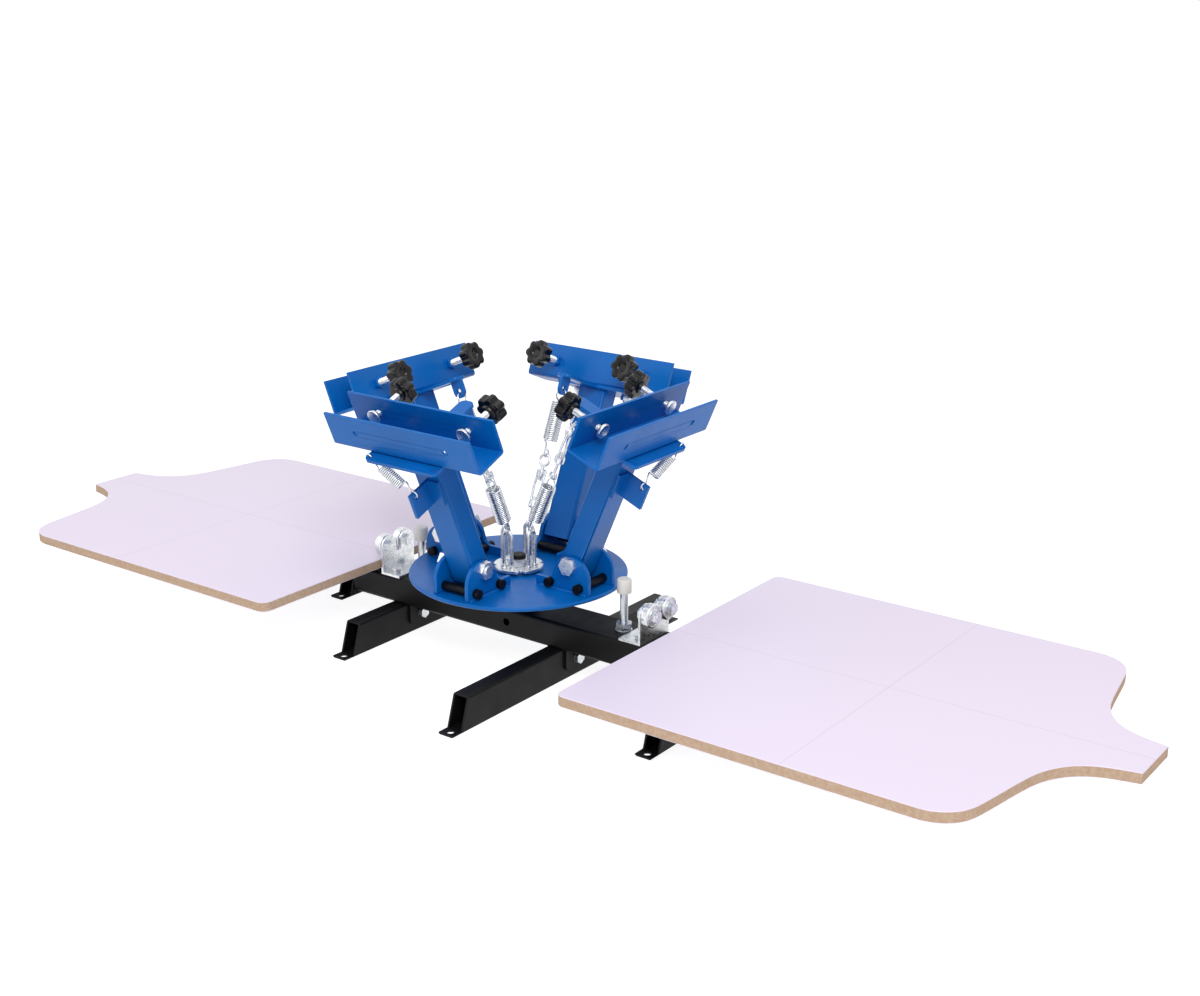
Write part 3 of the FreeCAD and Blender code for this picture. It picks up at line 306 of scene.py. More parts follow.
@dataclass(frozen=True)
class CappedStop:
    """A zinc plated bolt under a white nylon cap: matt and milky above, metal below."""

    name: str
    cap_low_mm: float
    steel_shade: str = "#C3C7CC"
    steel_roughness: Tuple[float, float] = (0.2, 0.4)
    nylon_shade: str = "#EFEDE6"
    nylon_roughness: float = 0.42
    cloud_mm: float = 6.0
    edge_mm: float = 0.05
    grain_mm: float = 0.6
    grain_depth_mm: float = 0.008

    def material(self) -> Material:
        """Build the finish, which changes from metal to nylon at the cap's lower edge.

        Returns:
            The material.
        """
        shader = Shader(bpy.data.materials.new(self.name))
        height = shader.add("SeparateXYZ", {0: shader.place()})[2]
        above = shader.maths("GREATER_THAN", height, (self.cap_low_mm + self.edge_mm) * MM)
        nylon = shader.maths("MULTIPLY", above, self.nylon_roughness)
        steel = shader.clouds(self.cloud_mm, *self.steel_roughness)
        return shader.shaded({
            "Base Color": shader.mixed(above, linear(self.steel_shade), linear(self.nylon_shade)),
            "Metallic": shader.maths("SUBTRACT", 1.0, above),
            "Roughness": shader.maths("MAXIMUM", steel, nylon),
            "Normal": shader.bumped(shader.noise(self.grain_mm, 1.0), self.grain_depth_mm),
        })


@dataclass(frozen=True)
class LaminatedBoard:
    """White melamine laminate on medium density fibreboard, with thin grey set-out lines."""

    name: str
    top_mm: float
    thick_mm: float
    line_x_mm: Tuple[float, float]
    sheet_shade: str = "#F4E8FC"
    line_shade: str = "#DACDE2"
    core_shade: str = "#D3B59B"
    dark_core_shade: str = "#B9977B"
    speck_shade: str = "#DEC6AE"
    film_mm: float = 0.7
    line_mm: float = 1.3
    line_share: float = 0.5
    fibre_mm: float = 0.9
    fibre_depth_mm: float = 0.12
    speck_mm: float = 4.0
    speck_share: float = 0.6
    core_roughness: float = 0.85
    film_roughness: float = 0.38

    def material(self) -> Material:
        """Build the finish: laminate on both faces, pressed fibre between them at the edge.

        Returns:
            The material.
        """
        shader = Shader(bpy.data.materials.new(self.name))
        x, y, z = shader.add("SeparateXYZ", {0: shader.place()})
        half = self.thick_mm / 2
        inside = shader.within(z, self.top_mm - half, half - self.film_mm)
        lines = shader.within(y, 0.0, self.line_mm / 2)
        for line in self.line_x_mm:
            lines = shader.maths("MAXIMUM", lines, shader.within(x, line, self.line_mm / 2))
        drawn = shader.maths("MULTIPLY", lines, self.line_share)
        sheet = shader.mixed(drawn, linear(self.sheet_shade), linear(self.line_shade))
        fibre = shader.clouds(self.fibre_mm, 0.0, 1.0, detail=4.0)
        speck = shader.clouds(self.speck_mm, 0.0, self.speck_share, 2.0, 0.35, 0.75)
        core = shader.mixed(fibre, linear(self.core_shade), linear(self.dark_core_shade))
        core = shader.mixed(speck, core, linear(self.speck_shade))
        height = shader.maths("MULTIPLY", fibre, inside)
        return shader.shaded({
            "Base Color": shader.mixed(inside, sheet, core),
            "Roughness": shader.ranged(inside, 0.0, 1.0, self.film_roughness, self.core_roughness),
            "Normal": shader.bumped(height, self.fibre_depth_mm),
        })


class Look(Enum):
    """The finishes of this press."""

    BLUE_POWDER_COAT = auto()
    BLACK_POWDER_COAT = auto()
    ZINC_PLATE = auto()
    SPRING_STEEL = auto()
    BLACK_OXIDE = auto()
    PHENOLIC = auto()
    BRONZE = auto()
    BOARD = auto()
    STOP = auto()


PAINTED = (Look.BLUE_POWDER_COAT, Look.BLACK_POWDER_COAT)
NODE_FINISHES = (
    (("main_beam", "foot_centre", "side_feet", "foot_cheeks", "board_carrier", "spindle_post"),
     Look.BLACK_POWDER_COAT),
    (("arm_leg", "head_plate", "screen_clamp", "carousel_disc", "lug_plates"),
     Look.BLUE_POWDER_COAT),
    (("lug_bolts",), Look.BLACK_OXIDE),
    (("thrust_washer",), Look.BRONZE),
    (("down_stops",), Look.STOP),
)


def build_finishes(top_mm: float, thick_mm: float, line_x_mm: Tuple[float, float],
                   cap_low_mm: float) -> Dict[Look, Material]:
    """Make every finish.

    Args:
        top_mm: the height of the boards' top faces.
        thick_mm: the boards' thickness.
        line_x_mm: where the cross lines lie along X.
        cap_low_mm: where the stops' nylon caps begin.

    Returns:
        One material for each finish.
    """
    blue, black = ("#006CC2", "#0063B4", 0.32, 0.25), ("#0A0A0C", "#101012", 0.45, 0.18)
    wire, board = ("#E2E4E6", "#CDD0D3", 0.16, 3.0), (top_mm, thick_mm, line_x_mm)
    makers = {
        Look.BLUE_POWDER_COAT: PowderCoat("Blue polyester powder coat", *blue),
        Look.BLACK_POWDER_COAT: PowderCoat("Black polyester powder coat", *black),
        Look.ZINC_PLATE: PlatedSteel("Bright zinc plated steel"),
        Look.SPRING_STEEL: PlatedSteel("Zinc plated spring wire", *wire),
        Look.BLACK_OXIDE: PlatedSteel("Black oxide steel", "#2A2B30", "#1C1D21", 0.35, 5.0),
        Look.PHENOLIC: MouldedPlastic("Black phenolic moulding", "#08080A", 0.2, 0.3),
        Look.BRONZE: PlatedSteel("Sintered bronze", "#B08A55", "#8F6B3F", 0.35, 4.0),
        Look.BOARD: LaminatedBoard("White laminate on fibreboard", *board),
        Look.STOP: CappedStop("Zinc bolt with nylon cap", cap_low_mm),
    }
    return {name: maker.material() for name, maker in makers.items()}


def bent(angle: Array, first: Array, second: Array) -> Array:
    """Turn from one direction towards another: first * cos(angle) + second * sin(angle)."""
    return first * np.cos(angle) + second * np.sin(angle)


def full_turn(steps: int) -> Array:
    """Step once round in equal angles, without the last one."""
    return np.linspace(0, FULL_TURN, steps, endpoint=False)


@dataclass
class Surface:
    """Vertices in millimetres and faces as tuples of vertex numbers."""

    points: Array
    faces: List[Tuple[int, ...]]

    @classmethod
    def grid(cls, points: Array, ring: bool = False) -> "Surface":
        """Face a grid of points, whose last column joins the first.

        Args:
            points: rows by columns by 3.
            ring: join the last row to the first, rather than close both with one face each.

        Returns:
            The surface, four-sided faces between neighbours.
        """
        rows, columns = points.shape[:2]
        first = np.arange(rows if ring else rows - 1)
        i, j = np.meshgrid(first, np.arange(columns), indexing="ij")
        here, below = i * columns, (i + 1) % rows * columns
        right = (j + 1) % columns
        quads = np.stack([here + j, here + right, below + right, below + j], -1)
        faces = [tuple(face) for face in quads.reshape(-1, 4).tolist()]
        if not ring:
            faces.append(tuple(range(columns - 1, -1, -1)))
            faces.append(tuple(range((rows - 1) * columns, rows * columns)))
        return cls(points.reshape(-1, 3), faces)

    @classmethod
    def joined(cls, parts: Sequence["Surface"]) -> "Surface":
        """Put several surfaces in one, one after the other.

        Args:
            parts: the surfaces.

        Returns:
            The one surface.
        """
        starts = np.cumsum([0] + [len(part.points) for part in parts[:-1]]).tolist()
        faces = [tuple(start + v for v in face)
                 for part, start in zip(parts, starts) for face in part.faces]
        return cls(np.concatenate([part.points for part in parts]), faces)

    def moved(self, move: Callable[..., Array], *settings: Any) -> "Surface":
        """Return this surface with its points put through a function."""
        return Surface(move(self.points, *settings), self.faces)


def turned(profile: Any, origin: Array, axis: Array, sides: int, lobes: Any = None) -> Surface:
    """Turn a profile about an axis: point = origin + axis * h + r * (u cos t + v sin t).

    Args:
        profile: rows of (distance along the axis, radius).
        origin: where the axis starts.
        axis: its unit direction.
        sides: how many steps the turn has.
        lobes: an optional function of the radius column and the angle row that gives the radius.

    Returns:
        The turned surface, with closed ends.
    """
    along, radius = np.asarray(profile).T[:, :, None]
    helper = Y_AXIS if abs(axis[1]) < 0.9 else X_AXIS
    u = np.cross(helper, axis)
    u = u / np.linalg.norm(u)
    turn = full_turn(sides)[None, :]
    radius = lobes(radius, turn) if lobes else np.repeat(radius, sides, 1)
    ring = bent(turn[..., None], u, np.cross(axis, u))
    return Surface.grid(origin + along[..., None] * axis + radius[..., None] * ring)


def swept(path: Array, radius: Any, sides: int, closed: bool = False) -> Surface:
    """Carry a circle along a path: c + r (n cos t + b sin t), where n turns as little as it can.

    Args:
        path: the centre line's points.
        radius: the radius, one for all points or one for each.
        sides: how many steps the circle has.
        closed: whether the path's end meets its start.

    Returns:
        The tube, with closed ends unless the path is closed.
    """
    ahead = np.roll(path, -1, 0) - np.roll(path, 1, 0)
    if not closed:
        ahead[0] = path[1] - path[0]
        ahead[-1] = path[-1] - path[-2]
    way = ahead / np.linalg.norm(ahead, axis=1)[:, None]
    normal = np.zeros_like(way)
    start = np.cross(way[0], ODD_WAY)
    normal[0] = start / np.linalg.norm(start)
    for row in range(1, len(way)):  # each ring's normal follows from the last one
        carried = normal[row - 1] - way[row] * normal[row - 1].dot(way[row])
        normal[row] = carried / np.linalg.norm(carried)
    side = np.cross(way, normal)
    ring = bent(full_turn(sides)[None, :, None], normal[:, None, :], side[:, None, :])
    radii = np.broadcast_to(radius, (len(path),))[:, None, None]
    return Surface.grid(path[:, None, :] + radii * ring, closed)


def smooth_path(points: Array, ways: Array, steps: int = 8) -> Array:
    """Join stations with cubics: p = h00 p0 + h10 t0 + h01 p1 + h11 t1, with t as long as the arc.

    Args:
        points: the stations.
        ways: the unit direction at each station.
        steps: how many points each stretch gets.

    Returns:
        The points along the whole path.
    """
    t = np.linspace(0, 1, steps, endpoint=False)[None, :, None]
    first, last = points[:-1, None, :], points[1:, None, :]
    leave, arrive = ways[:-1, None, :], ways[1:, None, :]
    reach = np.linalg.norm(last - first, axis=2, keepdims=True)
    arc = np.arccos(np.clip((leave * arrive).sum(2, keepdims=True), -1, 1)) / 2
    reach = reach * np.where(arc > STRAIGHT, arc / np.sin(np.maximum(arc, STRAIGHT)), 1.0)
    h00, h10 = 2 * t**3 - 3 * t**2 + 1, t**3 - 2 * t**2 + t
    h01, h11 = -2 * t**3 + 3 * t**2, t**3 - t**2
    curve = h00 * first + h10 * reach * leave + h01 * last + h11 * reach * arrive
    return np.concatenate([curve.reshape(-1, 3), points[-1:]])


def eye_stations(centre: Array, side: Array, way: Array) -> Tuple[Array, Array]:
    """Bend an open eye that heads along the wire at its end: p = c + R (way cos a + side sin a).

    Args:
        centre: the eye's centre.
        side: the unit direction away from the end.
        way: the unit direction in which the wire leaves.

    Returns:
        The stations and the directions at them.
    """
    a = np.radians(np.linspace(-EYE_OPEN_DEG, 270.0, 9))[:, None]
    return centre + EYE_RADIUS * bent(a, way, side), bent(a, side, -way)


@dataclass(frozen=True)
class Coil:
    """A wound stretch of wire: the radius of its centre line, its length and its turns."""

    radius: float
    length: float
    turns: float

    def stations(self, start: Array, first: Array, second: Array,
                 way: Array) -> Tuple[Array, Array]:
        """Wind the coil by quarter turns: p = s + R (u cos b + v sin b) + w p b / 2 pi.

        Args:
            start: the centre of the first turn.
            first: the unit direction of the first station.
            second: the unit direction a quarter turn on.
            way: the coil's axis.

        Returns:
            The stations and the directions at them.
        """
        quarter = np.arange(int(self.turns * 4) + 1)[:, None]
        b = quarter * QUARTER_TURN
        pitch = self.length / self.turns
        points = start + self.radius * bent(b, first, second) + way * pitch * quarter / 4
        ways = FULL_TURN * self.radius * bent(b, second, -first) + way * pitch
        return points, ways / np.linalg.norm(ways, axis=1)[:, None]


@dataclass(frozen=True)
class Thread:
    """A threaded rod: its outer radius, pitch and depth, and the steps of one turn."""

    radius: float
    pitch: float
    depth: float
    sides: int

    def rod(self, origin: Array, axes: Sequence[Array], start: float, end: float) -> Surface:
        """Cut the thread: r = R - d tri(x / p - t / 2 pi), x along the rod and t round it.

        Args:
            origin: where x is zero.
            axes: the unit directions along the rod, where t is zero, and a quarter turn on.
            start: x at one end.
            end: x at the other end.

        Returns:
            The rod, with closed ends.
        """
        along, first, second = axes
        x = np.linspace(start, end, int((end - start) / self.pitch * THREAD_STEPS))[:, None]
        turn = full_turn(self.sides)[None, :]
        wave = np.abs(2 * ((x / self.pitch - turn / FULL_TURN) % 1) - 1)
        reach = (self.radius - self.depth * wave)[..., None] * bent(turn[..., None], first, second)
        return Surface.grid(origin + x[..., None] * along + reach)


def hexagon(origin: Array, axis: Array, flats: float, thick: float) -> Surface:
    """Make a chamfered hexagon: r = min(profile, (f / 2) / cos(t mod 60 - 30)).

    Args:
        origin: the centre of one face.
        axis: the unit direction to the other face.
        flats: the width across the flats.
        thick: the thickness.

    Returns:
        The solid hexagon.
    """
    cut, wide, narrow = 0.09 * flats, 0.6 * flats, 0.49 * flats
    profile = ((0.0, CORE_RADIUS), (0.0, narrow), (cut, wide), (thick - cut, wide),
               (thick, narrow), (thick, CORE_RADIUS))
    step = math.pi / 3

    def hold(rho: Array, angle: Array) -> Array:
        """Hold the radius inside the six flats."""
        return np.minimum(rho, flats / 2 / np.cos(angle % step - step / 2))

    return turned(profile, origin, axis, 48, hold)


def rounded_rim(start: float, end: float, radius: float, edge: float, steps: int) -> Array:
    """Round both corners of a disc's rim by quarter circles: r = R - e + e sin t, then e cos t.

    Args:
        start: where the disc begins along its axis.
        end: where it ends.
        radius: its radius.
        edge: the corners' radius.
        steps: how many points each corner gets.

    Returns:
        Rows of (distance along the axis, radius).
    """
    t = np.linspace(0, QUARTER_TURN, steps)
    rise, fall = edge * np.sin(t), edge * np.cos(t)
    low = radius - edge
    first = np.stack([start + edge - fall, low + rise], 1)
    last = np.stack([end - edge + rise, low + fall], 1)
    return np.concatenate([first, last])


def new_mesh(name: str, surface: Surface) -> bpy.types.Mesh:
    """Make a mesh from a surface.

    Args:
        name: the mesh's name.
        surface: its shape in millimetres.

    Returns:
        The mesh in metres.
    """
    mesh = bpy.data.meshes.new(name)
    mesh.from_pydata((surface.points * MM).tolist(), [], surface.faces)
    return mesh


def new_object(name: str, data: Any) -> Thing:
    """Make an object and put it in the scene.

    Args:
        name: the object's name.
        data: its mesh, lamp or camera.

    Returns:
        The object.
    """
    thing = bpy.data.objects.new(name, data)
    bpy.context.scene.collection.objects.link(thing)
    return thing


class Arm(Enum):
    """The four arms: azimuth in degrees, side of the small spring, link's spring low or not."""

    FRONT = ("front", 270.0, -1, True)
    RIGHT = ("right", 0.0, 1, True)
    REAR = ("rear", 90.0, 1, False)
    LEFT = ("left", 180.0, -1, False)

    def __init__(self, label: str, azimuth_deg: float, hand: int, spring_low: bool) -> None:
        """Keep the arm's own values.

        Args:
            label: the arm's name.
            azimuth_deg: where it stands about the spindle.
            hand: the side of its small spring, minus one or one.
            spring_low: whether the spring is at the link's lower end.
        """
        self.label = label
        self.azimuth_deg = azimuth_deg
        self.hand = hand
        self.spring_low = spring_low


@dataclass(frozen=True)
class PressLayout:
    """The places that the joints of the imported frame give, in millimetres."""

    spindle_x: float
    pivot_r: float
    pivot_z: float
    hub_r: float
    hub_z: float
    lug_r: float
    lug_z: float
    lean: float

    @classmethod
    def from_joints(cls, joints: Iterable[Dict[str, Any]]) -> "PressLayout":
        """Read the layout from the joints.

        Args:
            joints: the frame's joints.

        Returns:
            The layout. Radii are from the spindle's axis, the lean is in radians from upright.
        """
        named = {joint["name"]: joint for joint in joints}
        spindle = named["carousel_spin"]["pos_m"][0] / MM
        pivot = named["arm_right_swing"]["pos_m"]
        hub = named["link_rear_swing"]["pos_m"]
        lug = named["link_right_swing"]["pos_m"]
        feed = named["screw_right_a_feed"]["axis"]
        return cls(spindle, pivot[0] / MM - spindle, pivot[2] / MM, hub[1] / MM, hub[2] / MM,
                   lug[0] / MM - spindle, lug[2] / MM, math.atan2(-feed[2], feed[0]))

    def around(self, points: Array, arm: Arm) -> Array:
        """Turn points to an arm's azimuth about the spindle.

        Args:
            points: how far each point lies outward, sideways and up.
            arm: the arm.

        Returns:
            The points in the press's frame.
        """
        turn = math.radians(arm.azimuth_deg)
        c, s = math.cos(turn), math.sin(turn)
        out, aside, up = np.moveaxis(points, -1, 0)
        return np.stack([out * c - aside * s + self.spindle_x, out * s + aside * c, up], -1)

    def on_arm(self, points: Array, arm: Arm) -> Array:
        """Move points from an upright arm, zero at its pivot, to the raised arm.

        Args:
            points: how far each point lies outward, sideways and up.
            arm: the arm.

        Returns:
            The points in the press's frame.
        """
        c, s = math.cos(self.lean), math.sin(self.lean)
        out, aside, up = np.moveaxis(points, -1, 0)
        leant = [self.pivot_r + out * c + up * s, aside, self.pivot_z - out * s + up * c]
        return self.around(np.stack(leant, -1), arm)


@dataclass
class PieceMaker:
    """What each maker of pieces knows, and how it hands a piece over."""

    layout: PressLayout
    finishes: Dict[Look, Material]

    def put(self, name: str, surface: Surface, finish: Look, body: str, node: str = "",
            sharp_deg: float = SHARP_DEG, stretch: Sequence[Any] = ()) -> None:
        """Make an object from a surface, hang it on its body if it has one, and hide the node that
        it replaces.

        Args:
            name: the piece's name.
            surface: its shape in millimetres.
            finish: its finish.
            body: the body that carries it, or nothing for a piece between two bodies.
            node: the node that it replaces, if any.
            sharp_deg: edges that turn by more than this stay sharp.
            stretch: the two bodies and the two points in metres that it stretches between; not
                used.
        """
        mesh = new_mesh(name, surface)
        mesh.validate()
        mesh.shade_smooth()
        mesh.set_sharp_from_angle(angle=math.radians(sharp_deg))
        mesh.materials.append(self.finishes[finish])
        piece = new_object(name, mesh)
        if body:
            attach(piece, body)
        else:
            buckle_body, spring_body, start, end = stretch
            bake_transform(piece)
            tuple(start)
            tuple(end)
        if node:
            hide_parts(node)
        LOG.info("piece %s: %d faces", name, len(surface.faces))


@dataclass
class ClampScrew(PieceMaker):
    """A lobed knob on a threaded screw with a round pressure pad, in millimetres."""

    pitch: float = 130.0
    height: float = 196.0
    knob_radius: float = 17.0
    knob_lobes: int = 7
    lobe_sides: int = 14
    lobe_depth: float = 0.2
    lobe_round: float = 1.4
    knob_thick: float = 13.0
    knob_face: float = 47.0
    knob_edge: float = 2.4
    knob_turn: float = 0.4
    knob_dish: Profile = ((2.2, 0.6), (2.2, 4.2), (1.0, 5.4), (0.0, 7.0))
    knob_hub: Profile = ((0.0, 9.0), (0.8, 8.0), (3.0, 7.4), (3.0, 3.8))
    thread: Thread = Thread(4.0, 1.25, 0.6, 20)
    pad_radius: float = 9.0
    pad_thick: float = 4.0
    pad_edge: float = 0.9
    pad_collar: Profile = ((-0.9, 3.0), (-0.9, 5.4), (0.0, 6.2))
    pad_middle: Profile = ((0.0, 0.5),)

    def knob(self) -> Surface:
        """Shape the knob by lobes: r = rho (1 - d w^3 ((1 - cos(n t)) / 2)^1.4), w = rho / R.

        Returns:
            The knob, its outer face at the far end.
        """
        face, radius = -self.knob_face, self.knob_radius
        back = face - self.knob_thick
        rim = rounded_rim(back, face, radius, self.knob_edge, 6)
        dish, hub = np.array(self.knob_dish) + (back, 0.0), np.array(self.knob_hub) + (face, 0.0)

        def lobes(rho: Array, angle: Array) -> Array:
            """Pull the radius in between lobes, more towards the rim."""
            swing = (0.5 - 0.5 * np.cos(self.knob_lobes * angle)) ** self.lobe_round
            return rho * (1 - self.lobe_depth * np.clip(rho / radius, 0, 1) ** 3 * swing)

        profile = np.concatenate([dish, rim, hub])
        return turned(profile, np.zeros(3), X_AXIS, self.knob_lobes * self.lobe_sides, lobes)

    def screw(self) -> Surface:
        """Join the threaded screw and its pad, a turned disc with a collar.

        Returns:
            The screw and the pad.
        """
        seat = -self.pad_thick
        stem = self.thread.rod(np.zeros(3), (X_AXIS, Y_AXIS, Z_AXIS), -self.knob_face, seat)
        rim = rounded_rim(seat, 0.0, self.pad_radius, self.pad_edge, 5)
        profile = [np.array(self.pad_collar) + (seat, 0.0), rim, self.pad_middle]
        pad = turned(np.concatenate(profile), np.zeros(3), X_AXIS, 40)
        return Surface.joined([stem, pad])

    def build(self) -> None:
        """Put two clamp screws on every arm, each knob at its own angle."""
        kinds = (("knob_", self.knob(), Look.PHENOLIC, SHARP_DEG),
                 ("screw_", self.screw(), Look.ZINC_PLATE, SHARP_THREAD_DEG))
        for arm in Arm:
            for end, side in zip("ab", SIDES):
                turn = self.knob_turn * side + arm.azimuth_deg
                c, s = math.cos(turn), math.sin(turn)
                spin = np.array([[1, 0, 0], [0, c, s], [0, -s, c]])
                offset = (0.0, side * self.pitch / 2, self.height)
                label = "%s_%s" % (arm.label, end)
                for start, shape, finish, sharp_deg in kinds:
                    set_off = Surface(shape.points @ spin + offset, shape.faces)
                    self.put(start + label, set_off.moved(self.layout.on_arm, arm), finish,
                             "screw_" + label, "clamp_screw_" + label, sharp_deg)


@dataclass
class ReturnLink(PieceMaker):
    """A tension spring and an open turnbuckle between the hub and an arm, in millimetres."""

    wire: float = 1.1
    coil: Coil = Coil(8.2, 48.0, 19.5)
    long_hook: float = 16.0
    short_hook: float = 15.3
    hook_lift: float = 0.35
    lead_in: float = 7.0
    ring_radius: float = 7.0
    ring_tail_deg: float = 40.0
    buckle_wire: float = 1.5
    buckle_body: float = 48.0
    bar_half: float = 4.6
    bar_bow: float = 1.2
    bar_radius: float = 1.7
    end_thick: float = 9.0
    end_block: Profile = ((0.0, 2.2), (0.0, 4.4), (1.4, 6.2), (6.5, 6.2), (9.0, 5.4), (9.0, 2.2))
    rod_inside: float = 14.0
    thread: Thread = Thread(2.2, 1.0, 0.35, 16)
    staple_wire: float = 2.0
    lug_hole: float = 3.5
    seat_gap: float = 0.3
    low: Array = field(init=False)
    along: Array = field(init=False)
    side: Array = field(init=False)
    whole: float = field(init=False)

    def __post_init__(self) -> None:
        """Work out the link's line in the plane of an arm at azimuth zero."""
        eye = np.array([self.layout.hub_r, 0.0, self.layout.hub_z])
        high = np.array([self.layout.lug_r, 0.0, self.layout.lug_z])
        self.along = (high - eye) / np.linalg.norm(high - eye)
        self.side = np.cross(Y_AXIS, self.along)
        self.low = eye - self.along * self.seat(self.buckle_wire, self.staple_wire)
        self.whole = float(np.linalg.norm(high - self.low))

    def seat(self, eye_wire: float, wire: float) -> float:
        """Tell how far a pulled wire lies from the centre of an eye bent from another wire."""
        return EYE_RADIUS - eye_wire - wire - self.seat_gap

    @property
    def spring_length(self) -> float:
        """From the centre of the lower eye to the top of the upper hook."""
        return self.long_hook + self.coil.length + self.short_hook

    @property
    def buckle_length(self) -> float:
        """From the centre of the eye to the top wire of the ring."""
        slack = 2 * EYE_RADIUS + self.lug_hole - 3 * self.seat_gap - self.staple_wire
        return self.whole - self.spring_length - slack + 2 * (self.wire + self.buckle_wire)

    def spring(self, origin: Array) -> Surface:
        """Wind the spring: an eye, a straight lead, a close coil and an open hook in one wire.

        Args:
            origin: the centre of the lower eye.

        Returns:
            The wire as a tube.
        """
        along, side = self.along, self.side
        eye, eye_way = eye_stations(origin, side, along)
        lead = origin - side * EYE_RADIUS + along * (self.long_hook - self.lead_in)
        start = origin + along * self.long_hook
        coil, coil_way = self.coil.stations(start, -side, -Y_AXIS, along)
        rise = self.coil.length + self.short_hook + self.hook_lift - self.ring_radius
        d = np.radians(np.linspace(0, 180 + self.ring_tail_deg, 7))[:, None]
        hook = start + along * rise + self.ring_radius * bent(d, Y_AXIS, along)
        points = np.concatenate([eye, lead[None], coil, hook])
        ways = np.concatenate([eye_way, along[None], coil_way, bent(d, along, -Y_AXIS)])
        return swept(smooth_path(points, ways), self.wire, 12)

    def ring(self, centre: Array, first: Array, radius: float) -> Surface:
        """Bend a closed wire ring: c + R (u cos t + v sin t)."""
        path = centre + radius * bent(full_turn(40)[:, None], first, self.along)
        return swept(path, self.buckle_wire, 12, closed=True)

    def rod(self, start: Array, length: float) -> Surface:
        """Cut one of the turnbuckle's two rods."""
        return self.thread.rod(start, (self.along, self.side, Y_AXIS), 0.0, length)

    def turnbuckle(self, origin: Array) -> Surface:
        """Make the open body with two bowed bars, two threaded rods, an eye and a ring.

        Args:
            origin: the centre of the lower eye.

        Returns:
            All of it in one surface.
        """
        along, length = self.along, self.buckle_length
        outside = (length - self.buckle_body) / 2
        reach = outside + self.rod_inside
        parts = [turned(self.end_block, origin + along * outside, along, 24),
                 turned(self.end_block, origin + along * (length - outside), -along, 24)]
        share = np.linspace(0, 1, 24)[:, None]
        run = outside + self.end_thick / 2 + (self.buckle_body - self.end_thick) * share
        bow = self.bar_half + self.bar_bow * np.sin(math.pi * share)
        for hand in SIDES:
            path = origin + along * run + Y_AXIS * (hand * bow)
            parts.append(swept(path, self.bar_radius, 12))
        top = origin + along * (length - self.ring_radius)
        parts += [self.rod(origin + along * EYE_RADIUS, reach - EYE_RADIUS),
                  self.rod(origin + along * (length - reach), reach - 2 * self.ring_radius),
                  self.ring(origin, self.side, EYE_RADIUS),
                  self.ring(top, Y_AXIS, self.ring_radius)]
        return Surface.joined(parts)

    def build(self) -> None:
        """Put a spring and a turnbuckle on every arm, in the arm's own order."""
        low, along = self.low, self.along
        for arm in Arm:
            if arm.spring_low:
                spring_at = low + along * self.seat(self.wire, self.staple_wire)
                seat = self.seat(self.buckle_wire, self.wire)
                buckle_at = spring_at + along * (self.spring_length + seat)
            else:
                buckle_at = low + along * self.seat(self.buckle_wire, self.staple_wire)
                seat = self.seat(self.wire, self.buckle_wire)
                spring_at = buckle_at + along * (self.buckle_length + seat)
            bodies = ("turnbuckle_body_" + arm.label, "spring_body_" + arm.label)
            buckle = self.turnbuckle(buckle_at).moved(self.layout.around, arm)
            self.put("open_turnbuckle_" + arm.label, buckle, Look.ZINC_PLATE, bodies[0],
                     "turnbuckle_" + arm.label)
            ends = [spring_at + along * self.long_hook,
                    spring_at + along * (self.long_hook + self.coil.length)]
            if arm.spring_low:
                ends.reverse()
            held = [tuple(self.layout.around(end, arm) * MM) for end in ends]
            spring = self.spring(spring_at).moved(self.layout.around, arm)
            self.put("coil_spring_" + arm.label, spring, Look.SPRING_STEEL, "",
                     "return_spring_" + arm.label, stretch=(*bodies, *held))


